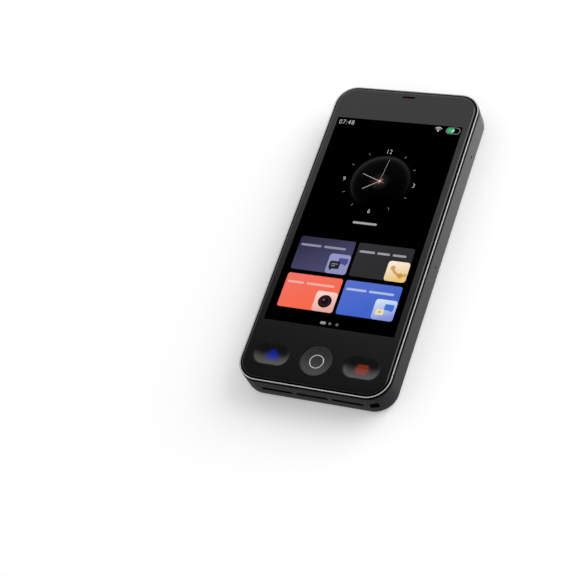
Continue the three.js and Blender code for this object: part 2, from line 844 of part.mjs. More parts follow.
// Screw whose head and shank each run from a lower to an upper height
function screw(name, x, y, headZ, shankZ) {
  const head = rod(x, y, screwHeadDiameter, ...headZ);
  const shank = rod(x, y, screwShankDiameter, ...shankZ);
  return piece(name, join([head, shank]), finishes.steel());
}

// Board under the front keys, with its screws and its ribbon through the plate
function keyBoard() {
  const middleY = (keyBoardLowY + keyBoardHighY) / 2;
  const length = keyBoardHighY - keyBoardLowY;
  const board = block(0, middleY, 2 * keyBoardHalfWidth, length, boardCorner, chinFloorZ, keyBoardTopZ);
  const holeDiameter = screwShankDiameter + 2 * screwClearance;
  const holes = keyScrewPlaces().map(([x, y]) =>
    rod(x, y, holeDiameter, chinFloorZ - overrun, keyBoardTopZ + overrun),
  );
  const lowZ = chinPlateBottomZ - keyRibbonThickness;
  const drop = boxAt(0, keyRibbonY, keyRibbonWidth, keyRibbonThickness, lowZ, chinFloorZ);
  const lowY = keyRibbonY - keyRibbonThickness / 2;
  const run = box(-keyRibbonWidth / 2, keyRibbonWidth / 2, lowY, stepY, lowZ, chinPlateBottomZ);
  const headZ = keyBoardTopZ + screwHeadHeight;
  const tipZ = chinFloorZ - keyScrewReach;
  const screws = keyScrewPlaces().map(([x, y], at) =>
    screw(`key_board_screw_${at + 1}`, x, y, [keyBoardTopZ, headZ], [tipZ, headZ]),
  );
  return [
    piece("key_board", cut(board, holes), finishes.board()),
    piece("key_ribbon", join([drop, run]), finishes.ribbon()),
    ...screws,
  ];
}

function frontKeys() {
  return [
    homeButton(),
    homeRing(),
    ...keySwitch("home", 0),
    talkKey("left_key", -talkKeyOffset),
    ...keySwitch("left_key", -talkKeyOffset),
    keyLamp("left_key_lamp", -talkKeyOffset + keyLampOffset, "#2335d6"),
    talkKey("right_key", talkKeyOffset),
    ...keySwitch("right_key", talkKeyOffset),
    keyLamp("right_key_lamp", talkKeyOffset - keyLampOffset, "#d4361c"),
    ...keyBoard(),
  ];
}

// Side key in its ramp, with the switch and bracket behind it
function sideKey() {
  const flangeTop = innerX - keyUnderGap;
  const flangeBottom = flangeTop - sideKeyFlange;
  const outerTop = halfWidth + rampHeight + sideKeyProud;
  const face = (inset, z) => ({
    width: sideKeyWidth - 2 * inset,
    length: sideKeyLength - 2 * inset,
    radius: sideKeyCorner - inset,
    z,
  });
  const cap = stacked([
    face(-keyFlangeWidth, flangeBottom),
    face(-keyFlangeWidth, flangeTop),
    face(0, flangeTop),
    face(0, outerTop - sideKeyEdge),
    face(sideKeyEdge / 4, outerTop - sideKeyEdge / 4),
    face(sideKeyEdge, outerTop),
  ]);
  const switchTop = flangeBottom - keyTravel - switchGap;
  const body = switchBody(sideSwitchWidth, sideSwitchLength, switchTop);
  const bracketX = switchHeight - switchTop + sideBracketThickness / 2;
  const bracketLowZ = slotZ - sideSwitchWidth / 2;
  const bracket = boxAt(
    bracketX, sideKeyY, sideBracketThickness, sideBracketLength, bracketLowZ, plateBottomZ,
  );
  return [
    piece("side_key", toLeftSide(cap), finishes.redMetal()),
    piece("side_switch", toLeftSide(body), finishes.steel()),
    piece("side_plunger", toLeftSide(plunger(flangeBottom)), finishes.plunger()),
    piece("side_bracket", bracket, finishes.steel()),
  ];
}

// Earpiece: a mesh in the glass slot, the receiver under it and the light beside it
function earpiece() {
  const receiver = boxAt(0, earpieceY, receiverLength, receiverWidth, plateTopZ, receiverTopZ);
  const length = earpieceLength - 2 * earpieceClearance;
  const width = earpieceWidth - 2 * earpieceClearance;
  const topZ = glassTopZ - earpieceRecess;
  const mesh = block(0, earpieceY, length, width, width * roundEndShare, receiverTopZ, topZ);
  const light = boxAt(0, statusLightY, statusLightLength, statusLightWidth, plateTopZ, glassBottomZ);
  return [
    piece("earpiece_mesh", mesh, finishes.mesh()),
    piece("earpiece_receiver", receiver, finishes.steel()),
    piece("status_light", light, finishes.lamp("#b8201c")),
  ];
}

function backCover() {
  const cover = stacked([
    frameLevel(coverInset + coverChamfer, 0),
    frameLevel(coverInset, coverChamfer),
    frameLevel(coverInset, coverThickness),
  ]);
  const places = [
    [upperLensY, lensRingDiameter],
    [flashY, flashDiameter],
    [lowerLensY, lensRingDiameter],
    [redRingY, redRingDiameter],
  ];
  const holes = places.map(([y, diameter]) =>
    rod(0, y, diameter + 2 * trimClearance, -overrun, coverThickness + overrun, largeRoundSides),
  );
  return piece("back_cover", cut(cover, holes), finishes.backPanel());
}

// One rear camera: a bright ring in the cover, a lens glass on its shoulder and the module behind
function rearCamera(name, y) {
  const outer = lensRingDiameter / 2;
  const flange = outer + trimFlangeWidth;
  const bore = lensBoreDiameter / 2;
  const throat = lensThroatDiameter / 2;
  const shoulderZ = lensGlassRecess + lensGlassThickness;
  const ring = turnedRing([
    [bore, trimRecess],
    [outer, trimRecess],
    [outer, coverThickness],
    [flange, coverThickness],
    [flange, trimFlangeTopZ],
    [throat, trimFlangeTopZ],
    [throat, shoulderZ],
    [bore, shoulderZ],
  ]);
  const glassDiameter = lensBoreDiameter - 2 * lensGlassClearance;
  const glass = rod(0, y, glassDiameter, lensGlassRecess, shoulderZ, largeRoundSides);
  const side = lensRingDiameter + 2 * (trimFlangeWidth + cameraMargin);
  const baseZ = trimFlangeTopZ + cameraBarrelLength;
  const barrel = rod(0, y, lensBoreDiameter, trimFlangeTopZ, baseZ + cameraCorner);
  const module = block(0, y, side, side, cameraCorner, baseZ, boardBottomZ);
  return [
    piece(`${name}_lens_ring`, ring.translate(0, y, 0), finishes.bright()),
    piece(`${name}_lens_glass`, glass, finishes.lens()),
    piece(`${name}_camera`, join([barrel, module]), finishes.blackPlastic()),
  ];
}

function flash() {
  const radius = flashDiameter / 2;
  const lens = turned([
    [0, trimRecess],
    [radius, trimRecess],
    [radius, coverThickness],
    [radius + trimFlangeWidth, coverThickness],
    [radius + trimFlangeWidth, trimFlangeTopZ],
    [0, trimFlangeTopZ],
  ]);
  const base = boxAt(0, flashY, flashBaseSide, flashBaseSide, trimFlangeTopZ, boardBottomZ);
  return [
    piece("flash_lens", lens.translate(0, flashY, 0), finishes.flash()),
    piece("flash_lamp", base, finishes.lamp("#cfc46a")),
  ];
}

// Red dished ring under the lower lens, with a core in its bore and a microphone behind
function redRing() {
  const outer = redRingDiameter / 2;
  const bore = redBoreDiameter / 2;
  const flange = outer + trimFlangeWidth;
  const ring = turnedRing([
    [bore, trimRecess + redDishDepth],
    [outer * redDishShare, trimRecess],
    [outer, trimRecess],
    [outer, coverThickness],
    [flange, coverThickness],
    [flange, trimFlangeTopZ],
    [bore, trimFlangeTopZ],
  ]);
  const coreDiameter = redBoreDiameter - trimClearance;
  const coreLowZ = trimRecess + redDishDepth + redCoreRecess;
  const core = rod(0, redRingY, coreDiameter, coreLowZ, trimFlangeTopZ);
  const microphone = boxAt(0, redRingY, rearMicSide, rearMicSide, trimFlangeTopZ, boardBottomZ);
  return [
    piece("red_ring", ring.translate(0, redRingY, 0), finishes.redMetal()),
    piece("red_core", core, finishes.redCore()),
    piece("rear_microphone", microphone, finishes.steel()),
  ];
}

// Main board with a notch for the charging socket
function mainBoard() {
  const middleY = (boardBottomY + boardTopY) / 2;
  const blank = block(0, middleY, 2 * boardHalfWidth, boardLength, boardCorner, boardBottomZ, boardTopZ);
  const holeDiameter = screwShankDiameter + 2 * screwClearance;
  const low = boardBottomZ - overrun;
  const high = boardTopZ + overrun;
  const holes = boardScrewPlaces().map(([x, y]) => rod(x, y, holeDiameter, low, high));
  const notchHalf = socketWidth / 2 + pocketClearance;
  const notch = box(
    socketX - notchHalf, socketX + notchHalf, socketBackY - pocketClearance, halfLength, low, high,
  );
  return piece("main_board", cut(blank, [...holes, notch]), finishes.board());
}

// What is soldered or clipped to the main board
function boardParts() {
  const middleY = (boardBottomY + boardTopY) / 2;
  const side = processorShieldSide;
  const processorTopZ = boardTopZ + processorShieldHeight;
  const processor = block(0, middleY, side, side, shieldCorner, boardTopZ, processorTopZ);
  const radioY = boardBottomY + boardBossInset + screwHeadDiameter / 2 + partGap + radioShieldLength / 2;
  const radioLowZ = boardBottomZ - radioShieldHeight;
  const radioWidth = boardHalfWidth - radioShieldFromSide - radioShieldFromMiddle;
  const radioX = radioShieldFromMiddle + radioWidth / 2;
  const radio = block(
    radioX, radioY, radioWidth, radioShieldLength, shieldCorner, radioLowZ, boardBottomZ,
  );
  const vibratorLowZ = boardBottomZ - vibratorHeight;
  const vibratorX = vibratorFromSide - boardHalfWidth;
  const vibrator = rod(vibratorX, radioY, vibratorDiameter, vibratorLowZ, boardBottomZ, largeRoundSides);
  const cameraSide = lensRingDiameter + 2 * (trimFlangeWidth + cameraMargin);
  const antennaHighX = -cameraSide / 2 - partGap;
  const antennaLowX = boardBossInset - boardHalfWidth + screwHeadDiameter / 2 + antennaScrewGap;
  const antennaLowY = boardTopY - upperAntennaWidth;
  const antennaLowZ = boardBottomZ - upperAntennaHeight;
  const antenna = box(antennaLowX, antennaHighX, antennaLowY, boardTopY, antennaLowZ, boardBottomZ);
  const headZ = boardBottomZ - screwHeadHeight;
  const tipZ = boardTopZ + boardScrewReach;
  const screws = boardScrewPlaces().map(([x, y], at) =>
    screw(`board_screw_${at + 1}`, x, y, [headZ, boardBottomZ], [headZ, tipZ]),
  );
  return [
    piece("processor_shield", processor, finishes.steel()),
    piece("radio_shield", radio, finishes.steel()),
    piece("vibration_motor", vibrator, finishes.steel()),
    piece("upper_antenna", antenna, finishes.blackPlastic()),
    ...screws,
  ];
}

// Charging socket: a shell that is open at the top edge, its tongue, and a tail under the board
function chargingSocket() {
  const radius = socketHeight * roundEndShare;
  const shell = block(0, 0, socketWidth, socketHeight, radius, socketBackY, socketMouthY);
  const innerWidth = socketWidth - 2 * socketWall;
  const innerHeight = socketHeight - 2 * socketWall;
  const innerRadius = innerHeight * roundEndShare;
  const floorY = socketBackY + socketTongueSetback;
  const hollow = block(0, 0, innerWidth, innerHeight, innerRadius, floorY, socketMouthY + overrun);
  const tipY = socketMouthY - socketTongueSetback;
  const tongue = boxAt(0, 0, socketTongueWidth, socketTongueThickness, socketBackY, tipY);
  const open = join([cut(shell, [hollow]), tongue]).rotateX(-quarterTurn).translate(socketX, 0, slotZ);
  const tailY = socketBackY - socketTailThickness;
  const tailLowZ = boardBottomZ - socketTailThickness;
  const tail = box(
    socketX - socketWidth / 4, socketX + socketWidth / 4, tailY, socketBackY + socketWall,
    tailLowZ, boardBottomZ,
  );
  return piece("charging_socket", join([open, tail]), finishes.steel());
}

function battery() {
  const middleY = (batteryBottomY + batteryTopY) / 2;
  const length = batteryTopY - batteryBottomY;
  const lowZ = coverThickness + batterySwellGap;
  const cell = block(0, middleY, 2 * batteryHalfWidth, length, batteryCorner, lowZ, plateBottomZ);
  const half = batteryTabLength / 2;
  const tabTopY = boardBottomY + partGap + batteryEndGap;
  const tab = box(-half, half, batteryTopY, tabTopY, boardBottomZ - flexThickness, boardBottomZ);
  return [piece("battery", cell, finishes.battery()), piece("battery_ribbon", tab, finishes.ribbon())];
}

// Loudspeaker box with its driver, and the fine mesh between it and the slots
function speaker() {
  const lowZ = coverLedgeTopZ + speakerBackGap;
  const middleY = (speakerBottomY + speakerTopY) / 2;
  const length = speakerTopY - speakerBottomY;
  const body = block(0, middleY, 2 * speakerHalfWidth, length, speakerCorner, lowZ, chinPlateBottomZ);
  const pocketWidth = driverLength + 2 * driverClearance;
  const pocketLength = length - 2 * speakerPocketWall;
  const floorZ = lowZ + speakerPocketDepth;
  const pocket = block(0, middleY, pocketWidth, pocketLength, speakerCorner, lowZ - overrun, floorZ);
  const driverWidth = pocketLength - 2 * driverClearance;
  const driverLowZ = lowZ + driverClearance;
  const driver = block(0, middleY, driverLength, driverWidth, speakerCorner, driverLowZ, floorZ);
  const meshHalf = slotRowHalf + meshMargin;
  const meshLowZ = slotZ - slotWidth / 2 - meshMargin;
  const meshHighZ = slotZ + slotWidth / 2 + meshMargin;
  const mesh = box(-meshHalf, meshHalf, -innerY, speakerBottomY, meshLowZ, meshHighZ);
  return [
    piece("speaker_box", cut(body, [pocket]), finishes.blackPlastic()),
    piece("speaker_driver", driver, finishes.steel()),
    piece("speaker_mesh", mesh, finishes.mesh()),
  ];
}

function lanyardBar() {
  const low = slotZ - lanyardHoleHeight / 2;
  const y = -halfLength + lanyardBarRecess + lanyardBarDiameter / 2;
  const bar = rod(lanyardX, y, lanyardBarDiameter, low, low + lanyardHoleHeight);
  return piece("lanyard_bar", bar, finishes.steel());
}

function sideMicrophone(name, fromTop) {
  const x = innerX - sideMicHeight / 2;
  const z = frontRingZ - pinholeFromFront;
  const lowZ = z - sideMicWidth / 2;
  const highZ = z + sideMicWidth / 2;
  const microphone = boxAt(x, halfLength - fromTop, sideMicHeight, sideMicLength, lowZ, highZ);
  return piece(name, microphone, finishes.steel());
}

const translator = new THREE.Group();
translator.add(
  middleFrame(),
  coverGlass(),
  ...display(),
  linkRibbon(),
  ...frontKeys(),
  ...sideKey(),
  ...earpiece(),
  backCover(),
  ...rearCamera("upper", upperLensY),
  ...rearCamera("lower", lowerLensY),
  ...flash(),
  ...redRing(),
  mainBoard(),
  ...boardParts(),
  chargingSocket(),
  ...battery(),
  ...speaker(),
  lanyardBar(),
  sideMicrophone("upper_side_microphone", upperPinholeFromTop),
  sideMicrophone("lower_side_microphone", lowerPinholeFromTop),
);

export default translator;
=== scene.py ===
"""Looks of the handheld translator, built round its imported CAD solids.

Sizes in the classes are millimetres in the frame of the solids: +Z comes out of the screen, +Y points to
the earpiece end and +X to the right of someone who reads the screen. Meshes are turned to metres when made.
"""

import json
import logging
import math
from dataclasses import dataclass
from enum import Enum

import bpy
import numpy as np
from mathutils import Euler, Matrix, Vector

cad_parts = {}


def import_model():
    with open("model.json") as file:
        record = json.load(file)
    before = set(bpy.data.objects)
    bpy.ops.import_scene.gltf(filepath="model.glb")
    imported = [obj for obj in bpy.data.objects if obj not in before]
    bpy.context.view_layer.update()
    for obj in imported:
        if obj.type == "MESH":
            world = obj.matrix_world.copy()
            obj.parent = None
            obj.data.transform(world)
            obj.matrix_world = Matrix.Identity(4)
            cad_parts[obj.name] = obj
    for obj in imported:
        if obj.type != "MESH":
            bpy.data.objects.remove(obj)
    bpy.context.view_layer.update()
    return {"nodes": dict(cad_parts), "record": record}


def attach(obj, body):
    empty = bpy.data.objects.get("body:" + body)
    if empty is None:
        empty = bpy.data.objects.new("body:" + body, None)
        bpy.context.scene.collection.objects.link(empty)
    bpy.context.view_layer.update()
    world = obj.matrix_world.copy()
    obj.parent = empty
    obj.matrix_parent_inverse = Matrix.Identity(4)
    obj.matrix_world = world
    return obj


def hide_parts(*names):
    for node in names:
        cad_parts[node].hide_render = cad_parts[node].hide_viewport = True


LOG = logging.getLogger("translator")
MM = 0.001
BODY = "housing"

Array = np.ndarray
Node = bpy.types.Node
Pair = tuple[float, float]
Pieces = list[bpy.types.Object]
Profile = list[tuple[float, float]]
Shape = tuple[Array, list]
Socket = bpy.types.NodeSocket
Tree = bpy.types.NodeTree

# Places that more than one sub-assembly takes up, in millimetres
GLASS_TOP = 15.95
MIDDLE_Z = 7.9
KEY_ROW_Y = -66.13
TALK_KEY_X = 21.3
SIDE_KEY_Y = 33.8
SOCKET_X = 15.0
UPPER_LENS_Y = 69.9
FLASH_Y = 63.26
LOWER_LENS_Y = 55.01
RED_RING_Y = 48.46


# Colours and shader nodes


def linear(code: str) -> tuple[float, float, float, float]:
    """Turns an sRGB hex colour to linear.

    Args:
        code: Six hex digits after a hash sign.

    Returns:
        Linear red, green and blue, and full opacity.
    """
    shares = [int(code[i : i + 2], 16) / 255 for i in (1, 3, 5)]
    curve = [s / 12.92 if s <= 0.04045 else ((s + 0.055) / 1.055) ** 2.4 for s in shares]
    return (*curve, 1.0)


def add_node(tree: Tree, kind: str, inputs: dict | None = None, **settings: object) -> Node:
    """Adds one node with its settings and links.

    Args:
        tree: Node tree that gets the node.
        kind: Blender's name of the node type.
        inputs: Socket names or numbers, each with a value or with the output that feeds it.
        settings: Attributes of the node.

    Returns:
        The new node.
    """
    node = tree.nodes.new(kind)
    for name, value in settings.items():
        setattr(node, name, value)
    for name, value in (inputs or {}).items():
        if isinstance(value, Socket):
            tree.links.new(value, node.inputs[name])
        else:
            node.inputs[name].default_value = value
    return node


def value_math(tree: Tree, operation: str, first: Socket | float, second: Socket | float) -> Socket:
    """One step of arithmetic on two numbers, by Blender's name of the operation."""
    return add_node(tree, "ShaderNodeMath", {0: first, 1: second}, operation=operation).outputs[0]


def vector_math(tree: Tree, operation: str, *vectors: Socket | tuple) -> Socket:
    """One step of arithmetic on vectors.

    Args:
        tree: Node tree that gets the step.
        operation: Blender's name of the operation.
        vectors: One or two vectors, or the outputs that give them.

    Returns:
        A number where the operation measures something, else a vector.
    """
    node = add_node(tree, "ShaderNodeVectorMath", dict(enumerate(vectors)), operation=operation)
    return node.outputs["Value" if operation in ("LENGTH", "DISTANCE", "DOT_PRODUCT") else "Vector"]


def map_range(
    tree: Tree, value: Socket, run: Pair, result: Pair = (0.0, 1.0), kind: str = "LINEAR"
) -> Socket:
    """Carries a run of a value over to another run, and holds it at both ends.

    Args:
        tree: Node tree that gets the step.
        value: The value.
        run: Where the value starts and ends.
        result: What it is carried to there.
        kind: Blender's name of the curve between the ends.

    Returns:
        The value carried over.
    """
    ends = {"From Min": run[0], "From Max": run[1], "To Min": result[0], "To Max": result[1]}
    return add_node(tree, "ShaderNodeMapRange", {"Value": value, **ends}, interpolation_type=kind).outputs[0]


def mix_values(tree: Tree, share: Socket | float, first: Socket | float, second: Socket | float) -> Socket:
    """Mixes two numbers by the share of the second."""
    return add_node(tree, "ShaderNodeMix", {0: share, 2: first, 3: second}, data_type="FLOAT").outputs[0]


def mix_colours(tree: Tree, share: Socket, first: Socket | tuple, second: Socket | tuple) -> Socket:
    """Mixes two colours by the share of the second."""
    return add_node(tree, "ShaderNodeMix", {0: share, 6: first, 7: second}, data_type="RGBA").outputs[2]


def object_place(tree: Tree) -> Socket:
    """Place of the shaded point in its object, in metres."""
    return add_node(tree, "ShaderNodeTexCoord").outputs["Object"]


def spot(place: Pair) -> tuple[float, float, float]:
    """Place in X and Y as a point in metres with no height."""
    return place[0] * MM, place[1] * MM, 0.0


class Pattern(Enum):
    """How a surface was made, which decides its fine relief."""

    BLASTED = "blasted"
    BRUSHED = "brushed"
    TURNED = "turned"
    MOULDED = "moulded"
    POLISHED = "polished"
    WOVEN = "woven"


# Scale of the grain along X, Y and Z for the processes that draw it out or press it together
STRETCHES = {Pattern.BRUSHED: (1.0, 0.03, 1.0), Pattern.TURNED: (1.0, 1.0, 6.0)}
# The large soft clouds that vary every surface beside its grain
CLOUD_SCALE = 60.0
CLOUD_SHARE = 0.35
# What no roughness goes below, and the roughness of every clear coat
LEAST_ROUGHNESS = 0.02
COAT_ROUGHNESS = 0.03


@dataclass(frozen=True)
class Finish:
    """A finish: base colour, a second tone in patches or grains, metal, roughness and fine relief.

    Attributes:
        name: Name of the real material and its process.
        base: Main colour as an sRGB hex value.
        tone: Second colour, mixed in by the pattern.
        metallic: Share of metal.
        roughness: Mean roughness.
        swing: How far the roughness moves to either side of its mean.
        pattern: How the surface was made.
        grain: Size of one grain, line or wire, in millimetres.
        relief: Strength of the bump.
        coat: Weight of a clear coat.
        sheen: Specular level of what isn't metal.
        glow: Strength of its own light.
    """

    name: str
    base: str
    tone: str
    metallic: float = 0.0
    roughness: float = 0.4
    swing: float = 0.05
    pattern: Pattern = Pattern.MOULDED
    grain: float = 0.3
    relief: float = 0.05
    coat: float = 0.0
    sheen: float = 0.5
    glow: float = 0.0

    def pattern_value(self, tree: Tree, place: Socket) -> Socket:
        """Builds the grey pattern of the surface.

        Args:
            tree: Node tree of the material.
            place: Object coordinates in metres.

        Returns:
            A value from 0 to 1 that follows the grain.
        """
        pitch = 1 / (self.grain * MM)
        if self.pattern is Pattern.WOVEN:
            tilt = {"Vector": place, "Rotation": (math.pi / 4, 0.0, 0.0)}
            tilted = add_node(tree, "ShaderNodeMapping", tilt).outputs[0]
            bands = []
            for vector, axis, stretch in ((place, "X", 1.0), (tilted, "Y", math.sqrt(2))):
                waves = {"Vector": vector, "Scale": pitch * stretch * math.pi / 10}
                band = add_node(tree, "ShaderNodeTexWave", waves, wave_type="BANDS", bands_direction=axis)
                bands.append(band.outputs["Fac"])
            return value_math(tree, "MAXIMUM", *bands)
        stretch = STRETCHES.get(self.pattern, (1.0, 1.0, 1.0))
        spread = add_node(tree, "ShaderNodeMapping", {"Vector": place, "Scale": stretch}).outputs[0]
        grains = {"Vector": spread, "Scale": pitch, "Detail": 3.0, "Roughness": 0.6}
        return add_node(tree, "ShaderNodeTexNoise", grains).outputs["Fac"]

    def dress(self, tree: Tree, shader: Node) -> None:
        """Adds what a special finish has beyond the plain one.

        Args:
            tree: Node tree of the material.
            shader: Principled shader of the material.
        """

    def build(self) -> bpy.types.Material:
        """Builds the material once and hands the same one out after that.

        Returns:
            The material.
        """
        made = bpy.data.materials.get(self.name)
        if made is not None:
            return made
        made = bpy.data.materials.new(self.name)
        made.use_nodes = True
        tree = made.node_tree
        shader = tree.nodes["Principled BSDF"]
        place = object_place(tree)
        value = self.pattern_value(tree, place)
        clouds = {"Vector": place, "Scale": CLOUD_SCALE, "Detail": 2.0}
        cloud = add_node(tree, "ShaderNodeTexNoise", clouds).outputs["Fac"]
        share = mix_values(tree, CLOUD_SHARE, value, cloud)
        colour = mix_colours(tree, share, linear(self.base), linear(self.tone))
        tree.links.new(colour, shader.inputs["Base Color"])
        ends = (max(self.roughness - self.swing, LEAST_ROUGHNESS), self.roughness + self.swing)
        tree.links.new(map_range(tree, share, (0.0, 1.0), ends), shader.inputs["Roughness"])
        shader.inputs["Metallic"].default_value = self.metallic
        shader.inputs["Specular IOR Level"].default_value = self.sheen
        shader.inputs["Coat Weight"].default_value = self.coat
        shader.inputs["Coat Roughness"].default_value = COAT_ROUGHNESS
        if self.relief > 0:
            relief = {"Strength": self.relief, "Distance": self.grain * MM * 0.5, "Height": value}
            tree.links.new(add_node(tree, "ShaderNodeBump", relief).outputs[0], shader.inputs["Normal"])
        if self.glow > 0:
            tree.links.new(colour, shader.inputs["Emission Color"])
            shader.inputs["Emission Strength"].default_value = self.glow
        self.dress(tree, shader)
        return made


@dataclass(frozen=True)
class PictureFinish(Finish):
    """Lit element of the display: black but for its own light, and free of reflections."""

    roughness: float = 0.25
    swing: float = 0.0
    grain: float = 2.5
    relief: float = 0.0
    sheen: float = 0.0
    glow: float = 1.0

    def light(self, tree: Tree, place: Socket) -> Socket | None:
        """Colour of the light by place, or nothing where the plain colour stays."""
        return None

    def dress(self, tree: Tree, shader: Node) -> None:
        """Takes the colour off the surface, so that only the light shows it."""
        ground = shader.inputs["Base Color"]
        tree.links.remove(ground.links[0])
        ground.default_value = linear("#000000")
        colour = self.light(tree, object_place(tree))
        if colour is not None:
            tree.links.new(colour, shader.inputs["Emission Color"])


@dataclass(frozen=True)
class LampGlow:
    """One soft patch of light that shows through a smoked key.

    Attributes:
        middle: Centre in X and Y.
        half: Half width and half length.
        corner: Corner radius of the patch.
        blur: Width over which its edge fades.
    """

    middle: Pair
    half: Pair
    corner: float
    blur: float


@dataclass(frozen=True)
class LitKeyFinish(Finish):
    """Smoked key cap with lamps behind it, each a round-cornered patch with a blurred edge.

    Attributes:
        lamp: Colour of the lamp.
        glows: The patches of light.
        painted_sheen: Colour of a painted sheen, a glow that lightens the cap towards its lower edge in place
            of reflected light.
        painted_sheen_y: Where the painted sheen starts and where it is full, in Y.
    """

    lamp: str = "#0000ff"
    glows: tuple[LampGlow, ...] = ()
    painted_sheen: str = "#434240"
    painted_sheen_y: Pair = (-64.9, -70.6)

    def dress(self, tree: Tree, shader: Node) -> None:
        """Adds the light of the patches: the distance to a round-cornered box, faded over the blur."""
        place = object_place(tree)
        total: Socket | float = 0.0
        for glow in self.glows:
            size = vector_math(tree, "ABSOLUTE", vector_math(tree, "SUBTRACT", place, spot(glow.middle)))
            inner = ((glow.half[0] - glow.corner) * MM, (glow.half[1] - glow.corner) * MM, 1.0)
            past = vector_math(tree, "SUBTRACT", size, inner)
            distance = vector_math(tree, "LENGTH", vector_math(tree, "MAXIMUM", past, (0.0, 0.0, 0.0)))
            fade = ((glow.corner + glow.blur) * MM, (glow.corner - glow.blur) * MM)
            light = map_range(tree, distance, fade, kind="SMOOTHERSTEP")
            total = value_math(tree, "MAXIMUM", total, light)
        # Painted sheen: a grey glow that grows towards the cap's lower edge, in place of reflected light
        place_y = add_node(tree, "ShaderNodeSeparateXYZ", {0: place}).outputs["Y"]
        share = map_range(tree, place_y, (self.painted_sheen_y[0] * MM, self.painted_sheen_y[1] * MM))
        painted_sheen = mix_colours(tree, share, linear("#000000"), linear(self.painted_sheen))
        tree.links.new(mix_colours(tree, total, painted_sheen, linear(self.lamp)), shader.inputs["Emission Color"])
        shader.inputs["Emission Strength"].default_value = 1.0


@dataclass(frozen=True)
class RadialFinish(PictureFinish):
    """Lit picture on the screen whose colour changes with the distance from a middle point.

    Attributes:
        middle: Middle in X and Y.
        reach: Distance at which the last colour is reached.
        stops: Shares of the reach, each with its colour.
        shade: Direction in X and Y of the lighter side; its opposite side goes dark.
        shade_from: Where the dark ends along that direction, as a share of the reach.
        shade_to: How bright the lighter side is at the reach.
    """

    middle: Pair = (0.0, 0.0)
    reach: float = 1.0
    stops: tuple[tuple[float, str], ...] = ((0.0, "#000000"), (1.0, "#ffffff"))
    shade: Pair = (0.0, 1.0)
    shade_from: float = -0.75
    shade_to: float = 1.15

    def light(self, tree: Tree, place: Socket) -> Socket:
        """Rings of colour: a ramp over the distance from the middle, as a share of the reach.

        Args:
            tree: Node tree of the material.
            place: Object coordinates in metres.

        Returns:
            The colour of the light.
        """
        middle = spot(self.middle)
        reach = self.reach * MM
        flat = vector_math(tree, "MULTIPLY", place, (1.0, 1.0, 0.0))
        away = vector_math(tree, "DISTANCE", flat, middle)
        ramp = add_node(tree, "ShaderNodeValToRGB", {0: value_math(tree, "DIVIDE", away, reach)})
        while len(ramp.color_ramp.elements) < len(self.stops):
            ramp.color_ramp.elements.new(1.0)
        for element, (at, code) in zip(ramp.color_ramp.elements, self.stops, strict=True):
            element.position = at
            element.color = linear(code)
        offset = vector_math(tree, "SUBTRACT", flat, middle)
        along = vector_math(tree, "DOT_PRODUCT", offset, (*self.shade, 0.0))
        lighter = map_range(tree, along, (self.shade_from * reach, reach), (0.0, self.shade_to))
        dimmed = {0: ramp.outputs[0], "Scale": lighter}
        return add_node(tree, "ShaderNodeVectorMath", dimmed, operation="SCALE").outputs[0]


@dataclass(frozen=True)
class ShadedFinish(PictureFinish):
    """Lit picture on the screen whose colour runs from one corner to the other.

    Attributes:
        start: Place in X and Y where the first colour is full.
        stop: Place in X and Y where the second colour is full.
    """

    start: Pair = (0.0, 0.0)
    stop: Pair = (1.0, 1.0)

    def light(self, tree: Tree, place: Socket) -> Socket:
        """Run of colour: the share of the way from start to stop, along the line between them.

        Args:
            tree: Node tree of the material.
            place: Object coordinates in metres.

        Returns:
            The colour of the light.
        """
        run = Vector((self.stop[0] - self.start[0], self.stop[1] - self.start[1], 0.0)) * MM
        shifted = vector_math(tree, "SUBTRACT", place, spot(self.start))
        share = vector_math(tree, "DOT_PRODUCT", shifted, tuple(run / run.length_squared))
        return mix_colours(tree, share, linear(self.base), linear(self.tone))


def lit(name: str, colour: str) -> Finish:
    """Plain lit element of the display, with a second tone a little below its colour."""
    tone = "#" + "".join(f"{round(int(colour[i : i + 2], 16) * 0.94):02x}" for i in (1, 3, 5))
    return PictureFinish(name, colour, tone)


def talk_key_finish(name: str, lamp: str, painted_sheen: str, *glows: LampGlow) -> LitKeyFinish:
    """Smoked glossy polycarbonate of a talk key, with the blurred light of its lamp in it.

    Args:
        name: Name of the finish.
        lamp: Colour of the lamp.
        painted_sheen: Colour of its painted sheen near the lower edge, in place of reflected light.
        glows: The patches of light.

    Returns:
        The finish.
    """
    return LitKeyFinish(
        name, "#08080a", "#0c0c0e", roughness=0.26, swing=0.03, grain=0.1, relief=0.02, sheen=0.36,
        lamp=lamp, painted_sheen=painted_sheen, glows=glows,
    )


# Anodised aluminium after bead blasting: dark, satin, with a grain that is felt more than seen
ANODISED = Finish(
    "anodised_aluminium_blasted", "#39383c", "#434246",
    metallic=0.7, roughness=0.42, pattern=Pattern.BLASTED, grain=0.12, relief=0.10,
)
# Painted shade: a near-black matt skin on the shoulder below the bright edge, in place of the shade and dark
# reflection there
PAINTED_SHADE_BAND = Finish(
    "painted_shade_band_matt_black", "#040405", "#070708",
    roughness=0.6, pattern=Pattern.POLISHED, grain=4.0, relief=0.0, sheen=0.05,
)
# The frame's edges after a diamond tool has cut through the anodising: bright, with the tool's fine lines
# that scatter light, so that they are pale from every side
BRIGHT_CUT = Finish(
    "aluminium_diamond_cut", "#d2d2d4", "#c8c8ca",
    metallic=0.35, roughness=0.36, pattern=Pattern.TURNED, grain=0.2, relief=0.02,
)
# Chemically strengthened glass with black ink behind it
INKED_GLASS = Finish(
    "glass_inked_black", "#08080a", "#0c0c0e",
    roughness=0.09, swing=0.01, pattern=Pattern.POLISHED, grain=8.0, relief=0.0, sheen=0.46,
)
# The unlit display under coated glass, blacker than the ink and with less reflection
DARK_SCREEN = Finish(
    "display_black", "#000000", "#010101",
    roughness=0.3, swing=0.0, pattern=Pattern.POLISHED, grain=8.0, relief=0.0, sheen=0.0,
)
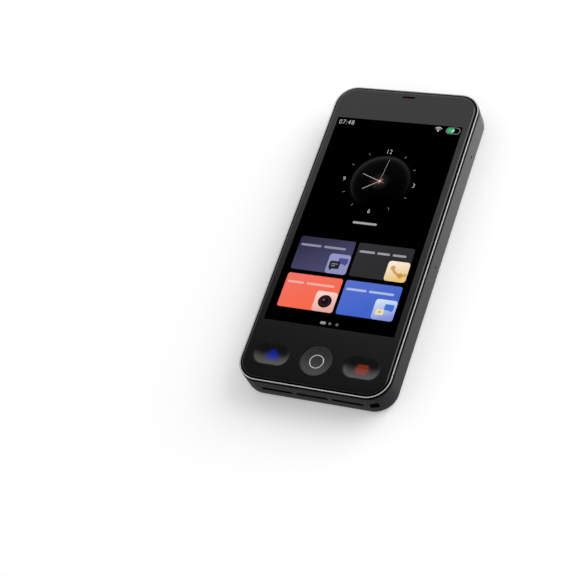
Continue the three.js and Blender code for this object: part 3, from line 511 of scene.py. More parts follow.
# Soft-touch lacquer on moulded polycarbonate: very dark and satin
BACK_LACQUER = Finish(
    "lacquered_polycarbonate", "#1a1a1d", "#1f1f22",
    roughness=0.42, swing=0.04, grain=0.1, relief=0.06, sheen=0.25,
)
# Translucent smoked polycarbonate of the home key, satin
KEY_SATIN = Finish(
    "smoked_polycarbonate_satin", "#272729", "#2c2c2e", roughness=0.36, swing=0.04, grain=0.1, relief=0.03
)
# Red anodised aluminium, satin
RED_ANODISED = Finish(
    "red_anodised_aluminium", "#8c1a29", "#9e2536",
    metallic=1.0, roughness=0.28, pattern=Pattern.BLASTED, grain=0.12,
)
# Painted shade: a darker wine-red turned band laid on the red ring's flat face round the dish
RED_RIM_SHADE = Finish(
    "red_rim_painted_shade", "#4a0f15", "#5a151c",
    metallic=1.0, roughness=0.3, pattern=Pattern.TURNED, grain=0.06,
)
# Deep red moulded core of the ring
RED_CORE = Finish("deep_red_polycarbonate", "#60040a", "#72080f", grain=0.1, relief=0.03, sheen=0.12)
# Bright ring round a lens, turned and then polished
LENS_RING = Finish(
    "polished_steel_turned", "#c4c4c6", "#d6d6d8",
    metallic=1.0, roughness=0.16, swing=0.04, pattern=Pattern.TURNED, grain=0.06, relief=0.04,
)
# Coated lens glass: nearly black with a hint of violet
LENS_GLASS = Finish(
    "coated_lens_glass", "#030305", "#050509",
    roughness=0.05, swing=0.01, pattern=Pattern.POLISHED, grain=2.0, relief=0.0, sheen=0.1,
)
# The small round lens in its middle, whose coating lets a little more light back, with a hint of violet
LENS_ELEMENT = Finish(
    "coated_lens_element", "#07060f", "#0c0a18",
    roughness=0.05, swing=0.01, pattern=Pattern.POLISHED, grain=2.0, relief=0.0, sheen=0.26,
)
# Ribbed off-white diffuser of the flash
FLASH_DIFFUSER = Finish(
    "flash_diffuser", "#dcdccb", "#e6e6d8", roughness=0.35, swing=0.08, grain=0.25, relief=0.25
)
# Stamped stainless steel of shields, switches and screws
STAMPED_STEEL = Finish(
    "stamped_stainless_steel", "#8c8d90", "#9fa0a3",
    metallic=1.0, roughness=0.33, swing=0.08, pattern=Pattern.BRUSHED, grain=0.1, relief=0.06,
)
# Black glass-filled nylon of the modules inside
BLACK_NYLON = Finish(
    "black_glass_filled_nylon", "#1a1a1b", "#232324", roughness=0.6, swing=0.08, grain=0.15, relief=0.15
)
# Green solder mask over fibreglass
SOLDER_MASK = Finish(
    "green_solder_mask", "#12402a", "#195236", roughness=0.35, swing=0.06, grain=0.5, relief=0.08, coat=0.4
)
# Amber polyimide film of the ribbons
POLYIMIDE = Finish("polyimide_film", "#8a5016", "#a4651f", roughness=0.3, pattern=Pattern.BRUSHED, grain=0.4)
# Foil pouch of the battery in dark film
POUCH_FOIL = Finish("foil_pouch_film", "#2b2d33", "#363941", metallic=0.3, swing=0.08, grain=1.5, relief=0.12)
# Ivory acetal plungers
ACETAL = Finish("ivory_acetal", "#c9c3b1", "#d3cdbc", swing=0.04, grain=0.2, relief=0.04)
# White diffusing film of the backlight
DIFFUSING_FILM = Finish("diffusing_film", "#dededa", "#e8e8e4", roughness=0.55, swing=0.04, relief=0.03)
# Chemically blackened steel of the lanyard bar
BLACKENED_STEEL = Finish(
    "blackened_steel", "#0b0b0c", "#131314",
    metallic=0.8, roughness=0.5, swing=0.06, pattern=Pattern.TURNED, grain=0.1,
)
# Painted shade: matt near-black liners in the openings of the frame, which keep them as dark as their shade
SHADE_LINER = Finish(
    "painted_shade_liner", "#040404", "#080808", roughness=0.8, grain=0.15, relief=0.1, sheen=0.08
)
# Window in the ink over the status light: dark red, as glossy as the glass round it
STATUS_WINDOW = Finish(
    "translucent_red_ink", "#3a0f18", "#451420",
    roughness=0.09, swing=0.01, pattern=Pattern.POLISHED, grain=8.0, relief=0.0, sheen=0.3,
)
# Woven wire behind the sound openings, blackened, with wires coarser than the real 0.1 mm so that they show
WIRE_MESH = Finish(
    "blackened_wire_cloth", "#020202", "#1b1b1d",
    metallic=0.8, roughness=0.5, swing=0.1, pattern=Pattern.WOVEN, grain=0.25, relief=0.5,
)
# Black silicone seal round the glass
SEAL_RUBBER = Finish("black_silicone", "#030303", "#060606", roughness=0.85, grain=0.2, sheen=0.08)
# Smoked talk keys with the light of their lamps, and a painted sheen that lightens their lower edge
LEFT_KEY = talk_key_finish(
    "smoked_polycarbonate_blue_lamp", "#001788", "#3f3e37",
    LampGlow((-21.2, -66.7), (2.8, 1.9), 1.9, 1.8),
    LampGlow((-21.2, -65.5), (1.7, 1.7), 1.7, 1.6),
)
RIGHT_KEY = talk_key_finish(
    "smoked_polycarbonate_red_lamp", "#8a2a06", "#413e41",
    LampGlow((21.4, -64.9), (2.3, 0.5), 0.5, 0.9),
    LampGlow((21.4, -66.5), (3.0, 0.6), 0.6, 0.9),
    LampGlow((21.4, -68.2), (2.1, 0.4), 0.4, 0.9),
    LampGlow((21.4, -66.7), (2.4, 0.9), 0.5, 2.2),
)
# Clear epoxy of the lamps
BLUE_LAMP = Finish(
    "blue_lamp_epoxy", "#1a26c0", "#2433d8", roughness=0.25, swing=0.03, grain=0.2, relief=0.02, glow=0.5
)
RED_LAMP = Finish(
    "red_lamp_epoxy", "#b3210f", "#cc2c16", roughness=0.25, swing=0.03, grain=0.2, relief=0.02, glow=0.4
)


# Meshes


def metres(points: Array) -> Array:
    """Millimetres to metres, as one row of three for each point."""
    return np.asarray(points, float).reshape(-1, 3) * MM


def make_piece(
    name: str, points: Array, faces: list, finish: Finish, body: str = BODY, sharp: float = 35.0
) -> bpy.types.Object:
    """Makes one finished piece from points and faces.

    Args:
        name: Name of the piece.
        points: Points in millimetres.
        faces: Index lists of the faces, anticlockwise from outside.
        finish: Finish of the whole piece.
        body: CAD body that it rides on.
        sharp: Edges that turn by more than this many degrees stay sharp.

    Returns:
        The object, at the origin.
    """
    mesh = bpy.data.meshes.new(name)
    mesh.from_pydata(metres(points).tolist(), [], faces)
    mesh.validate()
    soften(mesh, sharp)
    mesh.materials.append(finish.build())
    made = bpy.data.objects.new(name, mesh)
    bpy.context.scene.collection.objects.link(made)
    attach(made, body)
    return made


def soften(mesh: bpy.types.Mesh, sharp: float = 30.0) -> None:
    """Shades a mesh smooth but for its edges that turn by more than the given degrees."""
    mesh.shade_smooth()
    mesh.set_sharp_from_angle(angle=math.radians(sharp))


def grid_faces(rows: int, columns: int, close_rows: bool = False, close_columns: bool = True) -> Array:
    """Quads of a grid whose points are numbered row by row.

    Args:
        rows: Number of rows.
        columns: Number of columns.
        close_rows: Whether the last row joins the first one.
        close_columns: Whether the last column joins the first one.

    Returns:
        Four point numbers for each quad.
    """
    i = np.arange(rows if close_rows else rows - 1)[:, None]
    j = np.arange(columns if close_columns else columns - 1)[None, :]
    after_i, after_j = (i + 1) % rows, (j + 1) % columns
    quads = np.stack(
        [i * columns + j, i * columns + after_j, after_i * columns + after_j, after_i * columns + j], axis=-1
    )
    return quads.reshape(-1, 4)


def capped(rows: int, count: int) -> list:
    """Faces of a closed solid of stacked rows: quads between the rows, and flat caps on both ends."""
    last = (rows - 1) * count
    return [*grid_faces(rows, count).tolist(), list(range(count))[::-1], list(range(last, last + count))]


def as_profile(first: Array, second: Array) -> Profile:
    """Two rows of numbers as pairs."""
    return list(zip(first.tolist(), second.tolist(), strict=True))


@dataclass(frozen=True)
class Outline:
    """Round-cornered outline, anticlockwise seen from above.

    Attributes:
        half_x: Half its size in X.
        half_y: Half its size in Y.
        radius: Corner radius.
        x: Middle in X.
        y: Middle in Y.
        steps: Steps in each corner.
    """

    half_x: float
    half_y: float
    radius: float
    x: float = 0.0
    y: float = 0.0
    steps: int = 24

    def walk(self) -> tuple[Array, Array]:
        """Walks the outline: each corner is an arc about its own centre, and straight lines join the arcs.

        Returns:
            Points in X and Y, and the outward direction at each.
        """
        turn = np.arange(4)[:, None] * np.pi / 2 + np.linspace(0, np.pi / 2, self.steps + 1)[None, :]
        outward = np.stack([np.cos(turn), np.sin(turn)], axis=-1)
        side = np.array([[1, 1], [-1, 1], [-1, -1], [1, -1]])
        centres = side * [self.half_x - self.radius, self.half_y - self.radius] + [self.x, self.y]
        arcs = centres[:, None, :] + self.radius * outward
        return arcs.reshape(-1, 2), outward.reshape(-1, 2)

    def lift(self, profile: Profile) -> Array:
        """Carries a profile round the outline: each profile point is an inset from the outline and a height.

        Args:
            profile: Pairs of inset and height.

        Returns:
            Points by profile row and by place along the outline.
        """
        points, outward = self.walk()
        pairs = np.array(profile, float)
        flat = points[None] - outward[None] * pairs[:, 0, None, None]
        height = np.broadcast_to(pairs[:, 1, None, None], (*flat.shape[:2], 1))
        return np.concatenate([flat, height], axis=2)


def slab(outline: Outline, profile: Profile) -> Shape:
    """Closed solid whose side is a profile carried round an outline, capped on its first and last row."""
    rows = outline.lift(profile)
    return rows.reshape(-1, 3), capped(len(rows), rows.shape[1])


def hoop(outline: Outline, profile: Profile) -> Shape:
    """Closed ring whose cross-section is a closed profile carried round an outline."""
    rows = outline.lift(profile)
    return rows.reshape(-1, 3), grid_faces(len(rows), rows.shape[1], close_rows=True).tolist()


def turned(profile: Profile, x: float, y: float, sides: int = 96, closed: bool = False) -> Shape:
    """Solid of revolution about an upright axis: each profile pair is a radius and a height.

    Args:
        profile: Pairs of radius and height, so listed that faces point outwards.
        x: Axis in X.
        y: Axis in Y.
        sides: Sides of the round.
        closed: Whether the profile is a closed cross-section, as on a ring.

    Returns:
        Points and faces.
    """
    pairs = np.array(profile, float)
    turn = np.arange(sides) * 2 * np.pi / sides
    radius = pairs[:, 0, None]
    height = np.broadcast_to(pairs[:, 1, None], (len(pairs), sides))
    points = np.stack([x + radius * np.cos(turn), y + radius * np.sin(turn), height], axis=-1)
    faces = grid_faces(len(pairs), sides, close_rows=True).tolist() if closed else capped(len(pairs), sides)
    return points.reshape(-1, 3), faces


def stand_on(points: Array, normal: str, at: tuple[float, float, float]) -> Array:
    """Turns points drawn about +Z so that their height runs along a side's outward direction.

    Args:
        points: Points drawn with their height along +Z, their X along the frame and their Y across it.
        normal: Side that the shape faces: -x, +x, -y or +y.
        at: Place of the shape's own origin.

    Returns:
        The turned points.
    """
    u, v, w = np.asarray(points, float).reshape(-1, 3).T
    turns = {"-x": (-w, -u, v), "+x": (w, u, v), "-y": (u, -w, v), "+y": (-u, w, v)}
    return np.stack(turns[normal], axis=1) + np.array(at)


def carve(target: bpy.types.Object, tools: list[Shape], adding: bool = False) -> None:
    """Cuts closed shapes out of a piece, or adds them to it, and gives it the mesh that results.

    Args:
        target: Piece that is changed.
        tools: Points and faces of each closed shape.
        adding: Whether the shapes are joined on instead of cut out.
    """
    for points, faces in tools:
        mesh = bpy.data.meshes.new("cutter")
        mesh.from_pydata(metres(points).tolist(), [], faces)
        cutter = bpy.data.objects.new("cutter", mesh)
        bpy.context.scene.collection.objects.link(cutter)
        step = target.modifiers.new("step", "BOOLEAN")
        step.operation = "UNION" if adding else "DIFFERENCE"
        step.solver = "EXACT"
        step.object = cutter
        cut = bpy.data.meshes.new_from_object(target.evaluated_get(bpy.context.evaluated_depsgraph_get()))
        target.modifiers.clear()
        target.data = cut
        bpy.data.objects.remove(cutter)
        bpy.data.meshes.remove(mesh)


def arc(inset: float, low: float, run: float, rise: float, steps: int, turn_in: bool) -> Profile:
    """Quarter ellipse of a profile.

    Args:
        inset: Inset where it starts.
        low: Height where it starts.
        run: How far it moves in inset, outwards if negative.
        rise: How far it rises.
        steps: Number of steps.
        turn_in: Whether it starts upright and ends flat.

    Returns:
        Pairs of inset and height.
    """
    turn = np.linspace(0, np.pi / 2, steps + 1)
    across = 1 - np.cos(turn) if turn_in else np.sin(turn)
    up = np.sin(turn) if turn_in else 1 - np.cos(turn)
    return as_profile(inset + run * across, low + rise * up)


# Sub-assemblies


@dataclass
class MiddleFrame:
    """Metal frame with its bright edges, the ramp of the side key, and every opening in its walls."""

    half_x: float = 36.0
    half_y: float = 79.4
    radius: float = 10.4
    back_z: float = 0.25
    front_z: float = 15.25
    back_run: float = 2.0
    back_rise: float = 3.6
    back_ring: float = 0.65
    chamfer_in: float = 0.2
    chamfer_down: float = 1.8
    front_ring: float = 0.5
    front_ring_in: float = 0.18
    front_ring_skirt: float = 0.5
    seat_z: float = 14.65
    wall: float = 2.4
    pocket: float = 3.2
    cover_opening: float = 4.75
    cover_z: float = 0.9
    cover_ledge_z: float = 2.1
    slot_z: float = MIDDLE_Z
    slot_half: float = 7.5
    slot_width: float = 2.0
    slot_pitch: float = 16.7
    slot_corner_share: float = 0.48
    lanyard_x: float = 29.0
    lanyard_half: Pair = (1.9, 1.8)
    lanyard_depth: float = 5.2
    lanyard_corner: float = 0.35
    block_half: Pair = (2.5, 2.1)
    block_corner: float = 0.3
    block_from_hole: Pair = (-0.3, 4.3)
    block_rise: float = 3.0
    pinholes: Pair = (50.7, -8.5)
    pinhole_z: float = 7.25
    pinhole_half: Pair = (0.68, 0.68)
    pinhole_corner: float = 0.67
    key_y: float = SIDE_KEY_Y
    key_half: Pair = (6.3, 2.2)
    key_corner: float = 1.7
    ramp_height: float = 0.9
    ramp_top: Pair = (10.1, 3.2)
    ramp_slope: Pair = (3.6, 1.3)
    ramp_grid: tuple[int, int] = (97, 49)
    ramp_sink: float = 0.01
    ramp_floor: float = 0.6
    ramp_cut: float = 1.5
    socket_x: float = SOCKET_X
    socket_half: Pair = (4.65, 1.75)
    socket_corner: float = 1.68
    cut_depth: float = 3.4
    crown: float = 0.1
    bead_foot: float = 0.05
    bead_skirt_wall: float = 0.1
    reach: float = 6.0
    liner_wall: float = 0.06
    liner_depth: float = 2.3
    liner_setback: float = 0.05
    skin: float = 0.02

    def outline(self) -> Outline:
        """Outer outline of the frame."""
        return Outline(self.half_x, self.half_y, self.radius, steps=32)

    def section(self) -> Profile:
        """Cross-section of the wall, from the back ring out, up to the front ring and down the inside."""
        outer = arc(self.back_run, self.back_z, -self.back_run, self.back_rise, 14, False)
        ring_in = self.front_ring_in + self.front_ring - self.skin
        shoulder = arc(0.0, self.front_z - self.chamfer_down, self.chamfer_in, self.chamfer_down, 6, True)
        return [
            (self.back_run + self.back_ring, self.back_z),
            *outer,
            *shoulder,
            (ring_in, self.front_z),
            (ring_in, self.seat_z),
            (self.pocket, self.seat_z),
            (self.pocket, self.seat_z - self.wall),
            (self.wall, self.seat_z - 2 * self.wall),
            (self.wall, self.cover_ledge_z),
            (self.cover_opening, self.cover_ledge_z),
            (self.cover_opening, self.cover_z),
            (self.back_run + self.back_ring, self.cover_z),
        ]

    def side_opening(
        self, half: Pair, radius: float, side: str, along: float, z: float, depth: float
    ) -> Shape:
        """Round-cornered opening through one side wall.

        Args:
            half: Half its length along the frame and half its height.
            radius: Corner radius.
            side: Side that it opens.
            along: Place along that side.
            z: Height of its middle.
            depth: How far it goes in from the outer face.

        Returns:
            Points and faces of the cutting shape.
        """
        outer = self.half_x if side in ("-x", "+x") else self.half_y
        place = {"-x": (0, along, z), "+x": (0, along, z), "-y": (along, 0, z), "+y": (along, 0, z)}[side]
        points, faces = slab(Outline(*half, radius, steps=8), [(0, outer - depth), (0, outer + self.reach)])
        return stand_on(points, side, place), faces

    def openings(self) -> list[Shape]:
        """All openings of the walls: slots, lanyard hole, pinholes, socket mouth and side key hole."""
        z, deep = self.slot_z, self.cut_depth
        slot, corner = (self.slot_half, self.slot_width / 2), self.slot_width * self.slot_corner_share
        holes = [(slot, corner, "-y", k * self.slot_pitch, z, deep) for k in (-1, 0, 1)]
        holes.append((self.lanyard_half, self.lanyard_corner, "-y", self.lanyard_x, z, self.lanyard_depth))
        for y in self.pinholes:
            holes.append((self.pinhole_half, self.pinhole_corner, "+x", y, self.pinhole_z, deep))
        holes.append((self.socket_half, self.socket_corner, "+y", self.socket_x, z, deep))
        holes.append((self.key_half, self.key_corner, "-x", self.key_y, z, deep))
        return [self.side_opening(*hole) for hole in holes]

    def lanyard_block(self) -> Shape:
        """Metal behind the lanyard hole, inside the wall."""
        beside, behind = self.block_from_hole
        middle = (self.lanyard_x + beside, -self.half_y + behind)
        outline = Outline(*self.block_half, self.block_corner, *middle, steps=2)
        return slab(outline, [(0, self.slot_z - self.block_rise), (0, self.slot_z + self.block_rise)])

    def ramp(self) -> Shape:
        """Pad on the left wall that carries the side key.

        Its height is the ramp's height times one smooth step along the frame and one across it. A smooth step
        goes from 0 at the foot to 1 at the plateau as 3 s squared less 2 s cubed. The floor is in the wall.

        Returns:
            Points and faces.
        """
        along = self.ramp_top[0] + self.ramp_slope[0]
        across = self.ramp_top[1] + self.ramp_slope[1]
        steps_y, steps_z = self.ramp_grid
        y, z = np.meshgrid(np.linspace(-along, along, steps_y), np.linspace(-across, across, steps_z))

        def rise(place: Array, end: float, slope: float) -> Array:
            """Smooth step from the foot at the end to the plateau."""
            share = np.clip((end - np.abs(place)) / slope, 0, 1)
            return share**2 * (3 - 2 * share)

        height = self.ramp_height * rise(y, along, self.ramp_slope[0]) * rise(z, across, self.ramp_slope[1])
        top = np.stack([-self.half_x - height + self.ramp_sink, y + self.key_y, z + self.slot_z], axis=-1)
        floor = top.copy()
        floor[..., 0] = -self.half_x + self.ramp_floor
        rows, columns = y.shape
        quads = grid_faces(rows, columns, close_columns=False)
        count = rows * columns
        rim = np.concatenate(
            [
                np.arange(columns),
                np.arange(1, rows) * columns + columns - 1,
                count - 2 - np.arange(columns - 1),
                (rows - 2 - np.arange(rows - 2)) * columns,
            ]
        )
        after = np.roll(rim, -1)
        sides = np.stack([rim, after, after + count, rim + count], axis=1)
        faces = [*quads[:, ::-1].tolist(), *(quads + count).tolist(), *sides.tolist()]
        return np.concatenate([top.reshape(-1, 3), floor.reshape(-1, 3)]), faces

    def bead(self, inset: float, width: float, face_z: float, upward: bool, skirt: float) -> Shape:
        """Bright edge as a thin crowned band: half an ellipse on a flat foot sunk into the frame.

        Args:
            inset: How far in from the frame's outline it starts.
            width: Its width.
            face_z: Height of the face that it lies on.
            upward: Whether it faces up.
            skirt: How far its inner side runs on below the foot, as a thin skin on the frame's inner wall.

        Returns:
            Points and faces.
        """
        turn = np.linspace(0, np.pi, 9)
        way = 1.0 if upward else -1.0
        across = inset + width / 2 * (1 - np.cos(turn))
        section = as_profile(across, face_z + way * self.crown * np.sin(turn))
        sunk, inner = face_z - way * self.bead_foot, inset + width
        foot = [(inner, sunk), (inset, sunk)]
        if skirt > 0:
            low, thin = sunk - skirt, inner - self.bead_skirt_wall
            foot = [(inner, low), (thin, low), (thin, sunk), (inset, sunk)]
        section += foot
        return hoop(self.outline(), section if upward else section[::-1])

    def shoulder(self) -> Shape:
        """Painted shade below the bright edge: a near-black thin skin on the frame's own shoulder."""
        skin = self.skin
        low = self.front_z - self.chamfer_down
        outer = arc(0.0, low + skin, self.chamfer_in, self.chamfer_down, 10, True)
        inner = arc(skin * 2, low, self.chamfer_in - skin * 2, self.chamfer_down - skin, 10, True)
        return hoop(self.outline(), outer + inner[::-1])

    def pinhole_sleeve(self, y: float) -> Shape:
        """Near-black cup that paints shade in a pinhole: its flared mouth lies in the wall's face and its
        floor just behind.
        """
        outside = [(0.05, -1.5), (0.4, -1.5), (0.44, -0.3), (0.68, 0.0)]
        inside = [(0.6, -0.02), (0.4, -0.3), (0.36, -1.2), (0.05, -1.2)]
        points, faces = turned(outside + inside, 0.0, 0.0, 32)
        return stand_on(points, "+x", (self.half_x, y, self.pinhole_z)), faces

    def slot_liner(self, along: float) -> Shape:
        """Thin near-black sleeve that paints shade in a sound slot: its outer side in the metal, its lip just
        behind the wall's face.
        """
        corner = self.slot_width * self.slot_corner_share
        outline = Outline(self.slot_half, self.slot_width / 2, corner, steps=8)
        low, high = self.half_y - self.liner_depth, self.half_y - self.liner_setback
        half = self.liner_wall / 2
        points, faces = hoop(outline, [(-half, low), (-half, high), (half, high), (half, low)])
        return stand_on(points, "-y", (along, 0, self.slot_z)), faces

    def lanyard_liner(self) -> Shape:
        """Thin near-black cup that paints shade in the lanyard hole: up its outer side, over the lip and down
        inside to its floor.
        """
        outline = Outline(*self.lanyard_half, self.lanyard_corner, steps=8)
        low, high = self.half_y - self.lanyard_depth, self.half_y + self.liner_setback
        half = self.liner_wall / 2
        profile = [(-half, low - half), (-half, high), (half, high), (half, low + half)]
        points, faces = slab(outline, profile)
        return stand_on(points, "-y", (self.lanyard_x, 0, self.slot_z)), faces

    def surroundings(self) -> Shape:
        """Ring outside the frame, which trims what lies in an opening to just behind the rounded wall."""
        inner = self.liner_setback
        profile = [(inner, 0.0), (-self.reach, 0.0), (-self.reach, self.front_z), (inner, self.front_z)]
        return hoop(self.outline(), profile)

    def build(self) -> Pieces:
        """Builds the frame, its ramp, its painted shade band, its two bright edges and its openings' shade
        liners.
        """
        wall = make_piece("frame_wall", *hoop(self.outline(), self.section()), ANODISED)
        carve(wall, [self.lanyard_block()], adding=True)
        carve(wall, self.openings())
        soften(wall.data)
        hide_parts("middle_frame")
        ramp = make_piece("side_ramp", *self.ramp(), ANODISED)
        hole = (self.key_half, self.key_corner, "-x", self.key_y, self.slot_z, self.ramp_cut)
        carve(ramp, [self.side_opening(*hole)])
        soften(ramp.data)
        front_sizes = (self.front_ring_in, self.front_ring, self.front_z, True, self.front_ring_skirt)
        front = make_piece("front_bright_edge", *self.bead(*front_sizes), BRIGHT_CUT)
        back_sizes = (self.back_run, self.back_ring, self.back_z, False, 0.0)
        back = make_piece("back_bright_edge", *self.bead(*back_sizes), BRIGHT_CUT)
        # Painted shade: the near-black band on the shoulder
        shoulder = make_piece("front_painted_shade_band", *self.shoulder(), PAINTED_SHADE_BAND)
        shapes = {}
        for number, y in enumerate(self.pinholes):
            shapes[f"pinhole_sleeve_{number + 1}"] = self.pinhole_sleeve(y)
        for k in (-1, 0, 1):
            shapes[f"sound_slot_liner_{k + 2}"] = self.slot_liner(k * self.slot_pitch)
        shapes["lanyard_hole_liner"] = self.lanyard_liner()
        # Painted shade: near-black liners inside the openings
        liners = [make_piece(name, *shape, SHADE_LINER) for name, shape in shapes.items()]
        carve(liners[-1], [self.surroundings()])
        soften(liners[-1].data)
        return [wall, ramp, front, back, shoulder, *liners]


@dataclass
class FrontGlass:
    """Front glass with its rounded rim, its openings, the status light's window and the seal in its seat."""

    half_x: float = 34.4
    half_y: float = 77.8
    radius: float = 8.8
    bottom_z: float = 14.65
    top_z: float = GLASS_TOP
    rim_in: float = 1.3
    rim_down: float = 0.6
    flat_run: float = 0.2
    key_y: float = KEY_ROW_Y
    home_radius: float = 7.45
    home_corner_share: float = 0.999
    talk_x: float = TALK_KEY_X
    talk_half: Pair = (8.6, 5.2)
    talk_corner_share: float = 0.96
    earpiece_x: float = 0.4
    earpiece_y: float = 74.9
    earpiece_half: Pair = (3.2, 0.5)
    earpiece_corner: float = 0.48
    break_edge: float = 0.04
    seal_top: float = 14.78
    seal_width: float = 0.9
    seal_gap: float = 0.01
    status_low: Pair = (-1.4, 73.35)
    status_high: Pair = (2.6, 74.38)
    status_corner: float = 0.4

    def opening(self, half: Pair, radius: float, x: float, y: float) -> Shape:
        """Cutting shape of one opening, which widens at the face so that the glass has a broken edge.

        Args:
            half: Half its width and half its length.
            radius: Corner radius.
            x: Middle in X.
            y: Middle in Y.

        Returns:
            Points and faces of the cutting shape.
        """
        edge = self.break_edge
        profile = [
            (0, self.bottom_z - 1),
            (0, self.top_z - edge),
            (-edge, self.top_z),
            (-3 * edge, self.top_z + 2 * edge),
        ]
        return slab(Outline(*half, radius, x, y, steps=24), profile)

    def build(self) -> Pieces:
        """Builds the glass, the window of the status light in it and the seal round it."""
        outline = Outline(self.half_x, self.half_y, self.radius, steps=32)
        rim_z = self.top_z - self.rim_down
        profile = [(0, self.bottom_z), *arc(0, rim_z, self.rim_in, self.rim_down, 12, True)]
        profile.append((self.rim_in + self.flat_run, self.top_z))
        glass = make_piece("front_glass", *slab(outline, profile), INKED_GLASS)
        home, home_corner = (self.home_radius, self.home_radius), self.home_radius * self.home_corner_share
        shapes = [self.opening(home, home_corner, 0.0, self.key_y)]
        talk_corner = self.talk_half[1] * self.talk_corner_share
        for side in (-1, 1):
            shapes.append(self.opening(self.talk_half, talk_corner, side * self.talk_x, self.key_y))
        earpiece = (self.earpiece_half, self.earpiece_corner, self.earpiece_x, self.earpiece_y)
        shapes.append(self.opening(*earpiece))
        carve(glass, shapes)
        soften(glass.data)
        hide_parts("cover_glass")
        low, top, gap, wide = self.bottom_z - self.seal_gap, self.seal_top, self.seal_gap, self.seal_width
        section = [(-gap, low), (-wide, low), (-wide, top), (-gap, top)]
        seal = make_piece("glass_seal", *hoop(outline, section), SEAL_RUBBER)
        pane = rounded(self.status_low, self.status_high, self.status_corner)
        window = plate("status_light_window", pane, 1, STATUS_WINDOW)
        return [glass, seal, window]


@dataclass
class BackCover:
    """Lacquered back panel with its chamfered rim and the round openings of the lens row."""

    half_x: float = 32.85
    half_y: float = 76.25
    radius: float = 7.25
    thickness: float = 0.9
    chamfer: float = 0.25
    flat_run: float = 0.3
    openings: tuple[Pair, ...] = (
        (UPPER_LENS_Y, 3.0), (FLASH_Y, 2.4), (LOWER_LENS_Y, 3.0), (RED_RING_Y, 2.7)
    )

    def build(self) -> Pieces:
        """Builds the panel."""
        outline = Outline(self.half_x, self.half_y, self.radius, steps=32)
        edge = self.chamfer
        profile = [(edge + self.flat_run, 0.0), (edge, 0.0), (0.0, edge), (0.0, self.thickness)]
        panel = make_piece("back_panel", *slab(outline, profile), BACK_LACQUER)
        holes = [turned([(r, -1.0), (r, self.thickness + 1.0)], 0.0, y) for y, r in self.openings]
        carve(panel, holes)
        soften(panel.data)
        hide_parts("back_cover")
        return [panel]


@dataclass(kw_only=True)
class LensRowPiece:
    """Heights that all pieces in the row of round openings share."""

    face_z: float = 0.08
    seat_z: float = 0.9
    flange_z: float = 1.4


@dataclass
class RearLens(LensRowPiece):
    """One rear camera: a bright turned ring round black stepped glass that ends in a small round lens."""

    name: str
    y: float
    outer: float = 2.9
    bore: float = 2.25
    flange: float = 3.3
    throat: float = 1.75
    shoulder_z: float = 0.85
    edge: float = 0.13
    axis_gap: float = 0.05
    glass_gap: float = 0.08
    glass_z: float = 0.27
    lens_radius: float = 0.85
    lens_z: float = 0.38
    lens_fall: float = 0.24
    element_skin: float = 0.02
    element_foot_z: float = 0.75
    steps: tuple[Pair, ...] = ((1.85, 0.3), (1.8, 0.42), (1.35, 0.44), (1.3, 0.56), (0.95, 0.58))

    def ring(self) -> Profile:
        """Cross-section of the ring, with both edges of its face broken."""
        return [
            (self.bore, self.face_z + self.edge),
            (self.bore + self.edge, self.face_z),
            (self.outer - self.edge, self.face_z),
            (self.outer, self.face_z + self.edge),
            (self.outer, self.seat_z),
            (self.flange, self.seat_z),
            (self.flange, self.flange_z),
            (self.throat, self.flange_z),
            (self.throat, self.shoulder_z),
            (self.bore, self.shoulder_z),
        ]

    def glass(self) -> Profile:
        """Profile of the glass: a round lens in the middle, steps out to the bore, then the plain back."""
        edge = self.bore - self.glass_gap
        back = [(edge, self.glass_z), (edge, self.shoulder_z), (self.axis_gap, self.shoulder_z)]
        return [*self.cap(self.lens_radius, self.lens_z), *self.steps[::-1], *back]

    def cap(self, radius: float, middle_z: float) -> Profile:
        """Face of the round lens: it falls away with the square of the distance from the axis.

        Args:
            radius: How far out the face goes.
            middle_z: Height of its middle.

        Returns:
            Pairs of radius and height.
        """
        out = np.linspace(self.axis_gap, radius, 9)
        return as_profile(out, middle_z + self.lens_fall * (out / self.lens_radius) ** 2)

    def element(self) -> Profile:
        """Profile of the round lens: the glass's own cap, a hair proud of it, on a flat foot sunk into it."""
        radius = self.lens_radius - self.element_skin
        foot = [(radius, self.element_foot_z), (self.axis_gap, self.element_foot_z)]
        return [*self.cap(radius, self.lens_z - self.element_skin), *foot]

    def build(self) -> Pieces:
        """Builds the ring, the glass and the small lens in its middle."""
        ring = make_piece(f"{self.name}_ring", *turned(self.ring(), 0.0, self.y, closed=True), LENS_RING)
        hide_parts(f"{self.name}_lens_ring")
        glass = make_piece(f"{self.name}_glass", *turned(self.glass(), 0.0, self.y), LENS_GLASS, sharp=20.0)
        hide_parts(f"{self.name}_lens_glass")
        element = make_piece(f"{self.name}_lens_element", *turned(self.element(), 0.0, self.y), LENS_ELEMENT)
        return [ring, glass, element]


